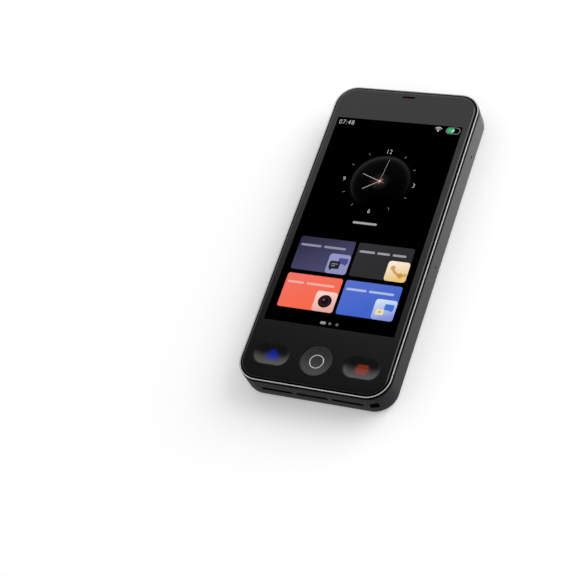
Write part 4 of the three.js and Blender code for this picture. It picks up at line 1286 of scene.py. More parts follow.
@dataclass
class FlashAndRedRing(LensRowPiece):
    """Off-white flash with ring-shaped ribs, and the red dished ring with its dark core."""

    axis_gap: float = 0.03
    flash_y: float = FLASH_Y
    flash_radius: float = 2.3
    flash_edge: Pair = (0.15, 0.1)
    ribs: int = 7
    rib_depth: float = 0.05
    red_y: float = RED_RING_Y
    red_radius: float = 2.6
    red_dish_radius: float = 1.87
    red_bore: float = 1.0
    red_depth: float = 0.45
    red_edge: float = 0.12
    rim_skin: float = 0.02
    rim_inset: float = 0.08
    rim_proud: float = 0.01
    rim_edge: float = 0.03
    rim_height: float = 0.3
    flange: float = 0.4
    core_z: float = 0.83
    core_gap: float = 0.05
    core_dome: tuple[Pair, ...] = ((0.0, 0.1), (0.6, 0.06), (1.0, 0.0))

    def flash(self) -> Profile:
        """Profile of the diffuser: its face rises and falls as a cosine of the radius, once for each rib."""
        radius = np.linspace(self.axis_gap, self.flash_radius - self.flash_edge[0], 12 * self.ribs)
        turns = radius / self.flash_radius * self.ribs
        wide = self.flash_radius + self.flange
        return [
            *as_profile(radius, self.face_z + self.rib_depth * (1 - np.cos(turns * 2 * np.pi))),
            (self.flash_radius, self.face_z + self.flash_edge[1]),
            (self.flash_radius, self.seat_z),
            (wide, self.seat_z),
            (wide, self.flange_z),
            (self.axis_gap, self.flange_z),
        ]

    def red_ring(self) -> Profile:
        """Cross-section of the red ring: a flat rim, and a dish whose depth grows as a sine to the bore."""
        share = np.linspace(1, 0, 12)
        radius = self.red_bore + (self.red_dish_radius - self.red_bore) * (1 - share)
        wide = self.red_radius + self.flange
        return [
            *as_profile(radius, self.face_z + self.red_depth * np.sin(share * np.pi / 2)),
            (self.red_radius - self.red_edge, self.face_z),
            (self.red_radius, self.face_z + self.red_edge),
            (self.red_radius, self.seat_z),
            (wide, self.seat_z),
            (wide, self.flange_z),
            (self.red_bore, self.flange_z),
        ]

    def rim(self) -> Profile:
        """Cross-section of the band of painted shade: a thin darker band with rounded corners over the ring's
        flat face.
        """
        face = self.face_z - self.rim_skin
        inner = self.red_dish_radius + self.rim_inset
        outer = self.red_radius + self.rim_proud
        return [
            (inner, face + self.rim_edge),
            (inner + self.rim_edge, face),
            (outer - self.red_edge, face),
            (outer, face + self.red_edge),
            (outer, face + self.rim_height),
            (inner, face + self.rim_height),
        ]

    def build(self) -> Pieces:
        """Builds the diffuser, the red ring, the band of painted shade on its rim and its core."""
        flash_shape = turned(self.flash(), 0.0, self.flash_y)
        flash = make_piece("flash_diffuser", *flash_shape, FLASH_DIFFUSER, sharp=50.0)
        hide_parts("flash_lens")
        ring_shape = turned(self.red_ring(), 0.0, self.red_y, closed=True)
        ring = make_piece("red_dished_ring", *ring_shape, RED_ANODISED)
        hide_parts("red_ring")
        rim = make_piece("red_ring_painted_shade_rim", *turned(self.rim(), 0.0, self.red_y, closed=True), RED_RIM_SHADE)
        core_radius = self.red_bore - self.core_gap
        gap, top = self.axis_gap, self.core_z
        dome = [(max(share * core_radius, gap), top - rise) for share, rise in self.core_dome]
        profile = [*dome, (core_radius, self.flange_z), (gap, self.flange_z)]
        core = make_piece("red_ring_core", *turned(profile, 0.0, self.red_y), RED_CORE, sharp=50.0)
        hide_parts("red_core")
        return [flash, ring, rim, core]


@dataclass(kw_only=True)
class DishedKey:
    """What the keys below the screen share: their row, the flange under the glass and the face's edge."""

    y: float = KEY_ROW_Y
    flange: float = 0.8
    flange_low: float = 13.7
    flange_high: float = 14.5
    top_z: float = 15.85
    edge: float = 0.12
    rim: float = 0.35
    flat: float = 0.1

    def side_wall(self) -> Profile:
        """Side of the key from the flange's underside up to the face, as insets and heights."""
        return [
            (-self.flange, self.flange_low),
            (-self.flange, self.flange_high),
            (0.0, self.flange_high),
            *arc(0, self.top_z - self.edge, self.edge, self.edge, 6, True),
        ]


@dataclass
class HomeKey(DishedKey):
    """Round dished key with a thin bright ring set in its face."""

    radius: float = 7.25
    sides: int = 128
    dish: float = 0.8
    ring_radius: float = 3.12
    ring_width: float = 0.45
    ring_proud: float = 0.1
    ring_sunk: float = 0.15

    def dish_z(self, radius: Array | float) -> Array | float:
        """Height of the face: the dish's depth shrinks with the square of the radius out to the rim."""
        return self.top_z - self.dish * (1 - (radius / (self.radius - self.rim)) ** 2)

    def build(self) -> Pieces:
        """Builds the key and its ring."""
        radius = np.linspace(self.radius - self.rim, self.flat, 28)
        profile = [(self.radius - inset, z) for inset, z in self.side_wall()]
        profile += as_profile(radius, self.dish_z(radius))
        key_shape = turned(profile, 0.0, self.y, self.sides)
        key = make_piece("home_key_cap", *key_shape, KEY_SATIN, body="home_key")
        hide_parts("home_button")
        turn = np.linspace(0, np.pi, 9)
        face_z, half = self.dish_z(self.ring_radius), self.ring_width / 2
        section = as_profile(self.ring_radius + half * np.cos(turn), face_z + self.ring_proud * np.sin(turn))
        low = face_z - self.ring_sunk
        section += [(self.ring_radius - half, low), (self.ring_radius + half, low)]
        ring_shape = turned(section, 0.0, self.y, self.sides, closed=True)
        ring = make_piece("home_key_ring", *ring_shape, BRIGHT_CUT, body="home_key")
        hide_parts("home_ring")
        return [key, ring]


@dataclass
class TalkKey(DishedKey):
    """Long dished key with round ends, smoked, lit from behind by its own lamp."""

    name: str
    node: str
    body: str
    side: int
    finish: Finish
    offset: float = TALK_KEY_X
    half: Pair = (8.4, 5.0)
    radius: float = 4.8
    dish: float = 0.9

    def build(self) -> Pieces:
        """Builds the key: the dish deepens inwards as 1 less the square of the way still to go."""
        outline = Outline(*self.half, self.radius, self.side * self.offset, self.y, steps=28)
        share = np.linspace(0, 1, 26)
        inset = self.rim + (self.radius - self.rim - self.flat) * share
        profile = self.side_wall() + as_profile(inset, self.top_z - self.dish * (1 - (1 - share) ** 2))
        key = make_piece(self.name, *slab(outline, profile), self.finish, body=self.body)
        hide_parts(self.node)
        return [key]


@dataclass
class SideKey:
    """Red anodised key on the left side, with a flange behind the wall."""

    y: float = SIDE_KEY_Y
    z: float = MIDDLE_Z
    half: Pair = (6.1, 2.0)
    radius: float = 1.5
    flange: float = 0.8
    flange_low: float = 32.75
    flange_high: float = 33.45
    face: float = 37.9
    edge: float = 0.4
    dome: Pair = (0.03, 0.045)

    def build(self) -> Pieces:
        """Builds the key with a rounded edge and a faintly domed face."""
        profile = [
            (-self.flange, self.flange_low),
            (-self.flange, self.flange_high),
            (0.0, self.flange_high),
            *arc(0, self.face - self.edge, self.edge, self.edge, 8, True),
            (self.edge * 2, self.face + self.dome[0]),
            (self.edge * 3, self.face + self.dome[1]),
        ]
        points, faces = slab(Outline(*self.half, self.radius, steps=16), profile)
        key = make_piece(
            "side_key_cap", stand_on(points, "-x", (0, self.y, self.z)), faces, RED_ANODISED, body="power_key"
        )
        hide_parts("side_key")
        return [key]


@dataclass
class ChargingSocket:
    """Charging socket in the top edge: a drawn steel shell with a tongue in it and a tail under the board."""

    x: float = SOCKET_X
    z: float = MIDDLE_Z
    mouth: float = 78.9
    floor: float = 71.6
    half: Pair = (4.5, 1.6)
    radius: float = 1.54
    wall: float = 0.32
    tongue_half: Pair = (3.35, 0.35)
    tongue_corner: float = 0.12
    tongue_root: float = 0.1
    setback: float = 0.8
    tail_half: Pair = (2.25, 0.76)
    tail_corner: float = 0.1
    tail_down: float = 0.44
    tail_z: Pair = (6.95, 8.15)

    def shape(self, half: Pair, radius: float, low: float, high: float) -> Shape:
        """Round-cornered block that points out of the top edge.

        Args:
            half: Half its width and half its height.
            radius: Corner radius.
            low: Where it starts, from the object's middle.
            high: Where it ends.

        Returns:
            Points and faces.
        """
        points, faces = slab(Outline(*half, radius, steps=12), [(0, low), (0, high)])
        return stand_on(points, "+y", (self.x, 0, self.z)), faces

    def build(self) -> Pieces:
        """Builds the shell with its tongue."""
        block = self.shape(self.half, self.radius, self.floor, self.mouth)
        shell = make_piece("socket_shell", *block, STAMPED_STEEL)
        inner = (self.half[0] - self.wall, self.half[1] - self.wall)
        carve(shell, [self.shape(inner, self.radius - self.wall, self.floor + self.setback, self.mouth + 1)])
        tail = Outline(*self.tail_half, self.tail_corner, self.x, self.floor - self.tail_down, steps=2)
        carve(shell, [slab(tail, [(0, z) for z in self.tail_z])], adding=True)
        soften(shell.data)
        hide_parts("charging_socket")
        root, tip = self.floor + self.setback - self.tongue_root, self.mouth - self.setback
        tongue_shape = self.shape(self.tongue_half, self.tongue_corner, root, tip)
        tongue = make_piece("socket_tongue", *tongue_shape, BLACK_NYLON)
        return [shell, tongue]


# Lit display


LAYER = 0.012
NUMERAL_WIDTH = 0.84
NUMERAL_SPACING = 1.16
NUMERAL_THINNING = -0.017
CARD_SIDE = 10.2


def plate(name: str, shape: Array, layer: int, finish: Finish) -> bpy.types.Object:
    """Thin closed plate on the glass, which stands for one element of the lit picture.

    Args:
        name: Name of the piece.
        shape: Outline in X and Y, anticlockwise.
        layer: How many layers its face lies above the glass.
        finish: Its finish.

    Returns:
        The piece.
    """
    count = len(shape)
    low = np.column_stack([shape, np.full(count, GLASS_TOP - 2 * LAYER)])
    top = np.column_stack([shape, np.full(count, GLASS_TOP + layer * LAYER)])
    made = make_piece(name, np.concatenate([low, top]), capped(2, count), finish)
    return made


def rounded(low: Pair, high: Pair, radius: float) -> Array:
    """Round-cornered rectangle between its lower left and its upper right corner, as points in X and Y."""
    middle = ((low[0] + high[0]) / 2, (low[1] + high[1]) / 2)
    return Outline((high[0] - low[0]) / 2, (high[1] - low[1]) / 2, radius, *middle, steps=10).walk()[0]


def disc(x: float, y: float, radius: float, sides: int = 64) -> Array:
    """Circle as points in X and Y."""
    turn = np.arange(sides) * 2 * np.pi / sides
    return np.stack([x + radius * np.cos(turn), y + radius * np.sin(turn)], axis=1)


def fan(x: float, y: float, inner: float, outer: float, start: float, stop: float, steps: int) -> Array:
    """Part of a ring.

    Args:
        x: Middle in X.
        y: Middle in Y.
        inner: Inner radius.
        outer: Outer radius.
        start: Angle in degrees where it starts.
        stop: Angle where it stops.
        steps: Points along each side.

    Returns:
        Points in X and Y.
    """
    turn = np.radians(np.linspace(start, stop, steps))
    way = np.stack([np.cos(turn), np.sin(turn)], axis=1)
    return np.concatenate([way * outer, way[::-1] * inner]) + [x, y]


def needle(x: float, y: float, angle: float, length: float, tail: float, width: float) -> Array:
    """Clock hand: a long four-sided taper from its tail to its tip.

    Args:
        x: Pivot in X.
        y: Pivot in Y.
        angle: Angle of the tip in degrees.
        length: From the pivot to the tip.
        tail: From the pivot to the other end.
        width: Twice its width at the tip; the tail is a fifth wider than the tip.

    Returns:
        Points in X and Y.
    """
    along = np.array([math.cos(math.radians(angle)), math.sin(math.radians(angle))])
    across = np.array([-along[1], along[0]]) * width / 2
    middle = np.array([x, y])
    tip, end = middle + along * length, middle - along * tail
    return np.array([end - across * 0.6, tip - across * 0.5, tip + across * 0.5, end + across * 0.6])


def bubble(x: float, y: float, half_x: float, half_y: float, tail: float) -> Array:
    """Speech bubble: a round-cornered box whose lower side runs out to a small tail.

    Args:
        x: Middle in X.
        y: Middle in Y.
        half_x: Half its width.
        half_y: Half its height.
        tail: Where the tail points along X, from the middle.

    Returns:
        Points in X and Y.
    """
    box = Outline(half_x, half_y, half_y * 0.45, x, y, steps=8)
    points = box.walk()[0]
    lower_side = 3 * (box.steps + 1)
    roots = [(x + tail - 0.4 * half_x, y - half_y), (x + tail + 0.3 * half_x, y - half_y)]
    point = [roots[0], (x + tail, y - 1.45 * half_y), roots[1]]
    return np.concatenate([points[:lower_side], point, points[lower_side:]])


def numerals(name: str, digits: str, height: float, x: float, y: float, finish: Finish) -> bpy.types.Object:
    """Plain numbers in Blender's own typeface, as a thin solid on the display.

    Args:
        name: Name of the piece.
        digits: The numbers.
        height: Height of a digit.
        x: Middle in X.
        y: Middle in Y.
        finish: Their finish.

    Returns:
        The piece.
    """
    curve = bpy.data.curves.new(f"{name}_curve", "FONT")
    curve.body = digits
    curve.extrude = 0.01
    curve.offset = NUMERAL_THINNING
    curve.space_character = NUMERAL_SPACING
    curve.resolution_u = 4
    draft = bpy.data.objects.new(f"{name}_draft", curve)
    bpy.context.scene.collection.objects.link(draft)
    mesh = bpy.data.meshes.new_from_object(draft.evaluated_get(bpy.context.evaluated_depsgraph_get()))
    bpy.data.objects.remove(draft)
    bpy.data.curves.remove(curve)
    points = np.zeros(len(mesh.vertices) * 3)
    mesh.vertices.foreach_get("co", points)
    points = points.reshape(-1, 3)
    low, high = points.min(axis=0), points.max(axis=0)
    scale = height / (high[1] - low[1])
    placed = (points[:, :2] - (low[:2] + high[:2]) / 2) * [scale * NUMERAL_WIDTH, scale] + [x, y]
    depth = np.where(points[:, 2] > 0, 3 * LAYER, -LAYER) + GLASS_TOP
    mesh.vertices.foreach_set("co", metres(np.column_stack([placed, depth])).ravel())
    mesh.materials.clear()
    mesh.materials.append(finish.build())
    mesh.name = name
    made = bpy.data.objects.new(name, mesh)
    bpy.context.scene.collection.objects.link(made)
    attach(made, BODY)
    return made


WHITE_LIT = lit("display_white", "#dadadc")
GREY_LIT = lit("display_grey", "#98989b")
TICK_LIT = lit("display_tick_grey", "#a2a2a4")


@dataclass
class StatusBar:
    """Black face of the display with the time, the wireless mark and the battery mark along its top."""

    low: Pair = (-31.0, -49.7)
    high: Pair = (31.2, 60.8)
    time_middle: Pair = (-25.8, 58.25)
    time_height: float = 2.45
    wireless: Pair = (19.95, 57.35)
    battery_x: Pair = (23.7, 30.5)
    battery_y: Pair = (56.6, 60.2)
    mark_line: float = 0.24
    charge: float = 0.62

    def build(self) -> Pieces:
        """Builds the face and its marks."""
        made = [plate("display_face", rounded(self.low, self.high, 0.15), 1, DARK_SCREEN)]
        made.append(numerals("status_time", "07:48", self.time_height, *self.time_middle, WHITE_LIT))
        x, y = self.wireless
        made.append(plate("wireless_dot", disc(x, y + 0.4, 0.42), 2, WHITE_LIT))
        for number, radius in enumerate((1.3, 2.15)):
            arch = fan(x, y + 0.2, radius - 0.18, radius + 0.16, 42, 138, 24)
            made.append(plate(f"wireless_arch_{number + 1}", arch, 2, WHITE_LIT))
        (left, right), (low, high) = self.battery_x, self.battery_y
        half = (high - low) / 2
        line = self.mark_line

        def pill(inset: float, end: float, roundness: float) -> Array:
            """Round-ended bar inside the battery mark, at an inset from its outline."""
            corner = (half - inset) * roundness
            return rounded((left + inset, low + inset), (end, high - inset), corner)

        full = left + 2 * line + (right - left - 4 * line) * self.charge
        made.append(plate("battery_mark_rim", pill(0.0, right, 0.98), 2, GREY_LIT))
        made.append(plate("battery_mark_ground", pill(line, right - line, 0.98), 3, DARK_SCREEN))
        charge = pill(2 * line, full, 0.9)
        made.append(plate("battery_mark_charge", charge, 4, lit("display_green", "#33bb70")))
        bolt = np.array([[0.15, 0.0], [0.9, 0.14], [-0.12, 1.2], [0.05, 0.3], [-0.75, 0.12], [0.0, -1.15]])
        centre = [full - 0.8, (low + high) / 2]
        made.append(plate("battery_mark_bolt", bolt + centre, 5, lit("display_mint", "#b4f6d2")))
        return made


@dataclass
class ClockFace:
    """Round clock: a faint dark globe, four numbers, short ticks between them and three thin hands."""

    x: float = 0.4
    y: float = 27.55
    globe_middle: Pair = (0.85, 27.0)
    globe: float = 15.0
    core: float = 4.6
    dial_middle: Pair = (0.07, 27.6)
    dial_half: Pair = (17.1, 16.35)
    tick_angles: Pair = (27.6, 58.6)
    number_height: float = 2.2

    def on_dial(self, angle: float) -> Pair:
        """Place on the dial's ring at an angle in degrees from +X."""
        way = math.radians(angle)
        (x, y), (half_x, half_y) = self.dial_middle, self.dial_half
        return x + half_x * math.cos(way), y + half_y * math.sin(way)

    def build(self) -> Pieces:
        """Builds the clock and the bare bar under it, where the place's name would be."""
        globe_finish = RadialFinish(
            "display_globe", "#000000", "#000000", middle=self.globe_middle, reach=self.globe,
            stops=(
                (0.0, "#0b0b0c"), (0.6, "#09090a"), (0.76, "#0c0c0d"), (0.85, "#191819"), (0.91, "#2b2a2c"),
                (0.94, "#201f21"), (0.965, "#0e0d0e"), (1.0, "#000000"),
            ),
            shade=(-0.35, 0.94),
        )
        core_finish = RadialFinish(
            "display_globe_core", "#000000", "#000000", middle=(self.x, self.y), reach=self.core,
            stops=(
                (0.0, "#e8bfae"), (0.11, "#8c6258"), (0.24, "#412e30"), (0.46, "#1d171a"), (1.0, "#09090a"),
            ),
            shade_from=-9.0,
        )
        made = [plate("clock_globe", disc(*self.globe_middle, self.globe, 128), 2, globe_finish)]
        made.append(plate("clock_globe_core", disc(self.x, self.y, self.core, 96), 3, core_finish))
        for number, angle in (("12", 88.6), ("3", -2), ("6", 270.6), ("9", 182)):
            place = self.on_dial(angle)
            made.append(numerals(f"clock_number_{number}", number, self.number_height, *place, WHITE_LIT))
        turns = [half + way * angle for half in (0, 180) for way in (1, -1) for angle in self.tick_angles]
        for number, angle in enumerate(turns):
            shape = needle(*self.on_dial(angle), angle, 0.55, 0.55, 0.34)
            made.append(plate(f"clock_tick_{number + 1}", shape, 2, TICK_LIT))
        hand, spark = lit("display_hand", "#dcd6d2"), lit("display_spark", "#b88873")
        # Name, then angle, length, tail and width, then layer and finish
        hands = (
            ("ray", (187, 4.9, 0.2, 0.8), 4, lit("display_ray", "#40221d")),
            ("shade", (243, 3.8, 0.2, 1.5), 4, lit("display_shade", "#2f2430")),
            ("spark_1", (38, 2.1, 0.2, 0.36), 5, spark),
            ("spark_2", (-18, 2.5, 0.2, 0.36), 5, spark),
            ("hour_hand", (214.6, 8.6, 0.8, 0.32), 6, hand),
            ("minute_hand", (161, 9.7, 0.8, 0.3), 7, hand),
            ("second_hand", (83.8, 12.1, 1.6, 0.22), 8, lit("display_fine_hand", "#b9b0ad")),
        )
        for name, sizes, layer, finish in hands:
            made.append(plate(f"clock_{name}", needle(self.x, self.y, *sizes), layer, finish))
        made.append(plate("clock_pin", disc(self.x, self.y, 0.45, 32), 9, lit("display_pin", "#f6ded3")))
        bar = rounded((-5.5, 4.0), (6.2, 5.1), 0.5)
        made.append(plate("clock_label_bar", bar, 2, lit("display_label_grey", "#a9a9ab")))
        return made


@dataclass
class Tile:
    """One tile of the home screen: ground, bare label bars and a small picture in its lower right corner.

    Attributes:
        name: Name of the tile.
        low: Lower left corner.
        high: Upper right corner.
        ground: Colours of the ground, upper and lower.
        card: Colours of the picture's card, upper and lower.
        words: Start and end in X of each label bar.
        label: Colour of the label bars.
    """

    name: str
    low: Pair
    high: Pair
    ground: tuple[str, str]
    card: tuple[str, str]
    words: tuple[Pair, ...]
    label: str
    corner: float = 1.1
    card_side: float = CARD_SIDE
    card_corner: float = 1.5
    label_down: float = 4.4
    label_height: float = 1.15

    def run(self, part: str, colours: tuple[str, str], low: Pair, high: Pair) -> Finish:
        """Finish whose colour runs down an area and a little to its right.

        Args:
            part: What it is for.
            colours: Its upper and its lower colour.
            low: Lower left corner of the area.
            high: Upper right corner.

        Returns:
            The finish.
        """
        stop = (low[0] + 0.35 * (high[0] - low[0]), low[1])
        return ShadedFinish(f"display_{self.name}_{part}", *colours, start=(low[0], high[1]), stop=stop)

    def build(self) -> Pieces:
        """Builds the ground, the card and the label bars."""
        ground = self.run("ground", self.ground, self.low, self.high)
        made = [plate(f"{self.name}_ground", rounded(self.low, self.high, self.corner), 2, ground)]
        card_low = (self.high[0] - self.card_side, self.low[1])
        card_high = (self.high[0], self.low[1] + self.card_side)
        card = self.run("card", self.card, card_low, card_high)
        made.append(plate(f"{self.name}_card", rounded(card_low, card_high, self.card_corner), 3, card))
        label = lit(f"display_{self.name}_label", self.label)
        y, half = self.high[1] - self.label_down, self.label_height / 2
        for number, (start, stop) in enumerate(self.words):
            bar = rounded((start, y - half), (stop, y + half), self.label_height * 0.45)
            made.append(plate(f"{self.name}_label_bar_{number + 1}", bar, 3, label))
        return made


@dataclass
class HomeScreen:
    """Four tiles with their small pictures, and the page marks below them."""

    left: Pair = (-27.25, -0.4)
    right: Pair = (1.2, 27.9)
    upper: Pair = (-22.9, -5.5)
    lower: Pair = (-42.4, -25.0)
    marks_y: float = -47.6

    def tiles(self) -> list[Tile]:
        """The four tiles, each with its ground, its card, its label bars and their colour."""
        talk = (("#2a293b", "#474669"), ("#9a97c5", "#8c90b9"), ((-26.2, -16.2), (-14.8, -4.2)), "#9495a8")
        sound_words = ((2.5, 9.9), (11.0, 17.0), (18.4, 24.8))
        sound = (("#323032", "#2d2c2e"), ("#fbf2e0", "#eac67a"), sound_words, "#a0a0a2")
        picture = (("#f07468", "#f96a4d"), ("#fbdcd1", "#eaa9a3"), ((-26.1, -18.2), (-16.9, -3.4)), "#f3b3a8")
        pocket = (("#5771cc", "#4164ca"), ("#dbe9fc", "#8492da"), ((2.4, 12.0), (13.2, 25.0)), "#b4c2e8")
        rows = (
            ("talk_tile", self.left, self.upper, talk),
            ("sound_tile", self.right, self.upper, sound),
            ("picture_tile", self.left, self.lower, picture),
            ("pocket_tile", self.right, self.lower, pocket),
        )
        return [Tile(name, (x[0], y[0]), (x[1], y[1]), *looks) for name, x, y, looks in rows]

    def pictures(self) -> Pieces:
        """Builds the small pictures: bubbles, a handset, a camera lens and two more bubbles."""
        ink, violet = lit("display_ink", "#262733"), lit("display_violet", "#4c5196")
        orange, amber = lit("display_orange", "#dca471"), lit("display_amber", "#cf9a4a")
        black, wine = lit("display_lens_black", "#171316"), lit("display_wine", "#4a1d24")
        blue, cream = lit("display_blue", "#3f79d6"), lit("display_cream", "#efe2b2")
        glint, ochre = lit("display_glint", "#9d7f86"), lit("display_ochre", "#b9a060")
        half = CARD_SIDE / 2
        x, y = self.left[1] - half, self.upper[0] + half
        line = rounded((x - 2.9, y - 0.3), (x - 0.1, y + 0.1), 0.19)
        short_line = rounded((x - 2.9, y - 1.3), (x - 1.1, y - 0.9), 0.19)
        made = [
            plate("talk_picture_bubble_back", bubble(x + 2.0, y + 1.7, 2.3, 1.5, 1.2), 4, violet),
            plate("talk_picture_bubble", bubble(x - 1.5, y - 0.6, 2.5, 2.0, -1.4), 5, ink),
            plate("talk_picture_line", line, 6, GREY_LIT),
            plate("talk_picture_line_short", short_line, 6, GREY_LIT),
        ]
        x = self.right[1] - half
        made += [
            plate("sound_picture_grip", fan(x + 2.3, y + 3.3, 4.3, 5.6, 200, 300, 20), 4, orange),
            plate("sound_picture_ear", disc(x - 2.3, y + 1.6, 1.15, 32), 5, orange),
            plate("sound_picture_mouth", disc(x + 1.9, y - 1.9, 1.3, 32), 5, amber),
        ]
        x, y = self.left[1] - half, self.lower[0] + half
        made += [
            plate("camera_picture_rim", disc(x, y + 0.2, 3.2), 4, black),
            plate("camera_picture_ring", disc(x, y + 0.2, 2.35), 5, wine),
            plate("camera_picture_lens", disc(x, y + 0.2, 1.9), 6, black),
            plate("camera_picture_glint", disc(x - 0.7, y + 0.9, 0.38, 24), 7, glint),
        ]
        x = self.right[1] - half
        made += [
            plate("pocket_picture_bubble_back", bubble(x + 1.9, y + 1.5, 2.2, 1.5, 1.2), 4, blue),
            plate("pocket_picture_bubble", bubble(x - 1.9, y - 1.2, 1.9, 1.4, -1.0), 5, cream),
            plate("pocket_picture_dot", disc(x - 1.9, y - 1.2, 0.5, 24), 6, ochre),
        ]
        return made

    def build(self) -> Pieces:
        """Builds the tiles, their pictures and the page marks."""
        made = [piece for tile in self.tiles() for piece in tile.build()]
        made += self.pictures()
        wide = rounded((-4.2, self.marks_y - 0.7), (-1.5, self.marks_y + 0.7), 0.68)
        made.append(plate("page_mark_wide", wide, 2, GREY_LIT))
        for number, x in ((2, 0.4), (3, 3.8)):
            dot = disc(x, self.marks_y, 0.68, 32)
            made.append(plate(f"page_mark_{number}", dot, 2, lit("display_dim", "#6b6b6e")))
        return made


# Solids that keep their own shape


SLOT_FINISHES: dict[str, Finish] = {
    "anodised_frame": ANODISED,
    "bright_trim": BRIGHT_CUT,
    "front_glass": INKED_GLASS,
    "screen": DARK_SCREEN,
    "backlight": DIFFUSING_FILM,
    "back_panel": BACK_LACQUER,
    "key_cap": KEY_SATIN,
    "blue_lamp": BLUE_LAMP,
    "red_lamp": RED_LAMP,
    "red_anodised": RED_ANODISED,
    "red_core": RED_CORE,
    "lens_glass": LENS_GLASS,
    "flash_diffuser": FLASH_DIFFUSER,
    "steel": STAMPED_STEEL,
    "black_plastic": BLACK_NYLON,
    "circuit_board": SOLDER_MASK,
    "ribbon": POLYIMIDE,
    "battery_pouch": POUCH_FOIL,
    "plunger": ACETAL,
    "sound_mesh": WIRE_MESH,
}


NODE_FINISHES: dict[str, Finish] = {"lanyard_bar": BLACKENED_STEEL}


def dress_solids(frame: dict) -> int:
    """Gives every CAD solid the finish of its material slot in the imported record, or its own if it has one.


    Returns:
        How many solids were dressed.
    """
    rows = frame["record"]["subparts"]
    for row in rows:
        solid = frame["nodes"][row["node"]]
        solid.data.materials.clear()
        finish = NODE_FINISHES.get(row["node"], SLOT_FINISHES[row["material_slot"]])
        solid.data.materials.append(finish.build())
    return len(rows)


# Studio


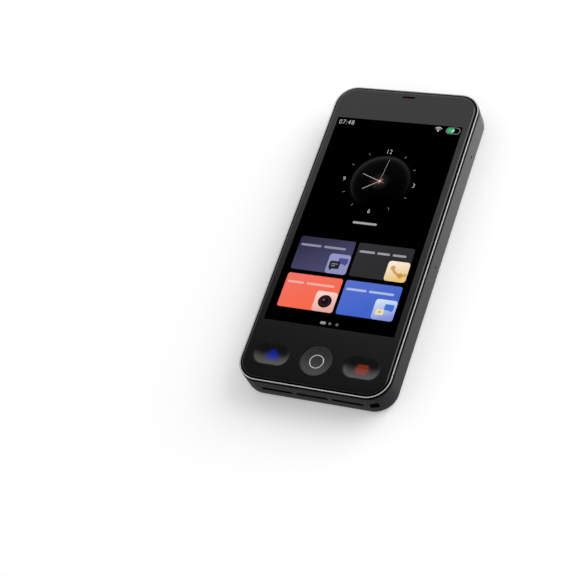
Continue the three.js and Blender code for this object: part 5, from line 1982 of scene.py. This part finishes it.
@dataclass
class Studio:
    """Pale floor, soft dome, one broad lamp and the camera at the photograph's place.

    The dome lights matt surfaces evenly, and more strongly from below. What shines mirrors another picture:
    bright low down all round, and on the far side up to nearly overhead, and dark above. So the glass shows
    a run from grey to black, as in a studio with lit walls. In mirrors the floor, too, is bright on the far
    side and dark on the near side, as under a lamp that stands behind. The floor lets the shortest rays
    through and can't be seen from below, so the back is lit and can be looked at.
    """

    camera_place: tuple[float, float, float] = (267.35, -322.96, 577.52)
    camera_turn: tuple[float, float, float] = (32.079, 17.85, 19.167)
    lens: float = 97.66
    sensor: float = 36.0
    floor_side: float = 12.0
    floor_drop: float = 0.0002
    floor_lift: Pair = (0.2, 0.6)
    lift_run: Pair = (0.3, 1.2)
    table_bright: float = 1.45
    table_dark: float = 0.11
    table_y: Pair = (-95.0, 78.0)
    short_ray: float = 0.0015
    fill: float = 0.58
    fill_below: float = 0.95
    horizon: float = 0.02
    dome_bright: float = 1.1
    dome_dark: float = 0.13
    dome_edge: Pair = (0.25, 0.5)
    far_edge: Pair = (0.525, 0.36)
    lamp_place: tuple[float, float, float] = (1.45, 1.2, 1.15)
    lamp_side: float = 2.2
    lamp_power: float = 36.0

    def camera(self) -> None:
        """Sets the camera."""
        data = bpy.data.cameras.new("camera")
        data.lens = self.lens
        data.sensor_width = self.sensor
        data.clip_start, data.clip_end = 0.01, 50.0
        made = bpy.data.objects.new("camera", data)
        made.location = Vector(self.camera_place) * MM
        made.rotation_euler = Euler([math.radians(a) for a in self.camera_turn], "XYZ")
        bpy.context.scene.collection.objects.link(made)
        bpy.context.scene.camera = made

    def dome(self) -> None:
        """Lights matt surfaces evenly, gives mirrors another picture, and is white for the camera."""
        world = bpy.data.worlds.new("dome")
        world.use_nodes = True
        tree = world.node_tree
        ground = tree.nodes["Background"]
        way = add_node(tree, "ShaderNodeTexCoord").outputs["Generated"]
        axes = add_node(tree, "ShaderNodeSeparateXYZ", {0: way}).outputs
        levels = [
            map_range(tree, axes[axis], edge, (self.dome_bright, self.dome_dark), "SMOOTHSTEP")
            for axis, edge in (("Z", self.dome_edge), ("Y", self.far_edge))
        ]
        mirrored = value_math(tree, "MAXIMUM", *levels)
        even = map_range(tree, axes["Z"], (-self.horizon, self.horizon), (self.fill_below, self.fill))
        path = add_node(tree, "ShaderNodeLightPath").outputs
        lighting = mix_values(tree, path["Is Glossy Ray"], even, mirrored)
        tree.links.new(mix_values(tree, path["Is Camera Ray"], lighting, 1.0), ground.inputs["Strength"])
        ground.inputs["Color"].default_value = (1.0, 1.0, 1.0, 1.0)
        bpy.context.scene.world = world

    def lamp(self) -> None:
        """Adds the broad lamp, turned to the object."""
        data = bpy.data.lights.new("broad_lamp", "AREA")
        data.size = self.lamp_side
        data.energy = self.lamp_power
        made = bpy.data.objects.new("broad_lamp", data)
        made.location = self.lamp_place
        made.rotation_euler = (-Vector(self.lamp_place)).to_track_quat("-Z", "Y").to_euler()
        bpy.context.scene.collection.objects.link(made)

    def floor(self) -> None:
        """Adds the floor: pale matt paper, seen from above only, with painted light that lifts it towards
        white for the camera.
        """
        half = self.floor_side / 2
        points = np.array([[-1, -1, 0], [1, -1, 0], [1, 1, 0], [-1, 1, 0]]) * half
        points[:, 2] = -self.floor_drop
        mesh = bpy.data.meshes.new("floor")
        mesh.from_pydata(points.tolist(), [], [(0, 1, 2, 3)])
        paper = bpy.data.materials.new("pale_paper")
        paper.use_nodes = True
        tree = paper.node_tree
        shader = tree.nodes["Principled BSDF"]
        shader.inputs["Base Color"].default_value = linear("#fbfbfb")
        shader.inputs["Roughness"].default_value = 0.9
        shader.inputs["Specular IOR Level"].default_value = 0.1
        path = add_node(tree, "ShaderNodeLightPath").outputs
        place = object_place(tree)
        # Painted light for the camera only: the floor is lifted towards white, more far from the object than
        # near it
        away = map_range(tree, vector_math(tree, "LENGTH", place), self.lift_run, self.floor_lift)
        lift = mix_colours(tree, path["Is Camera Ray"], linear("#000000"), away)
        tree.links.new(lift, shader.inputs["Emission Color"])
        shader.inputs["Emission Strength"].default_value = 1.0
        near_y, far_y = self.table_y
        place_y = add_node(tree, "ShaderNodeSeparateXYZ", {0: place}).outputs["Y"]
        share = map_range(tree, place_y, (near_y * MM, far_y * MM), (self.table_dark, 1.0))
        emission = {"Color": share, "Strength": self.table_bright}
        mirrored = add_node(tree, "ShaderNodeEmission", emission).outputs[0]
        shaders = {0: path["Is Glossy Ray"], 1: shader.outputs[0], 2: mirrored}
        seen = add_node(tree, "ShaderNodeMixShader", shaders).outputs[0]
        under = add_node(tree, "ShaderNodeNewGeometry").outputs["Backfacing"]
        near = value_math(tree, "LESS_THAN", path["Ray Length"], self.short_ray)
        clear = value_math(tree, "MAXIMUM", under, near)
        hole = add_node(tree, "ShaderNodeBsdfTransparent").outputs[0]
        mix = add_node(tree, "ShaderNodeMixShader", {0: clear, 1: seen, 2: hole})
        tree.links.new(mix.outputs[0], tree.nodes["Material Output"].inputs["Surface"])
        mesh.materials.append(paper)
        made = bpy.data.objects.new("floor", mesh)
        bpy.context.scene.collection.objects.link(made)

    def build(self) -> None:
        """Builds the studio."""
        bpy.context.scene.view_settings.view_transform = "Standard"
        self.camera()
        self.dome()
        self.lamp()
        self.floor()


def main() -> None:
    """Builds the looks in order and logs how many solids were dressed and the faces of each new piece."""
    logging.basicConfig(level=logging.INFO, format="%(message)s")
    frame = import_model()
    LOG.info("dressed %d solids", dress_solids(frame))
    groups = [
        MiddleFrame(),
        FrontGlass(),
        BackCover(),
        RearLens("upper", UPPER_LENS_Y),
        RearLens("lower", LOWER_LENS_Y),
        FlashAndRedRing(),
        HomeKey(),
        TalkKey("left_talk_key_cap", "left_key", "left_talk_key", -1, LEFT_KEY),
        TalkKey("right_talk_key_cap", "right_key", "right_talk_key", 1, RIGHT_KEY),
        SideKey(),
        ChargingSocket(),
        StatusBar(),
        ClockFace(),
        HomeScreen(),
    ]
    for group in groups:
        for piece in group.build():
            LOG.info("%s: %s, %d faces", type(group).__name__, piece.name, len(piece.data.polygons))
    Studio().build()


if __name__ == "__main__":
    main()
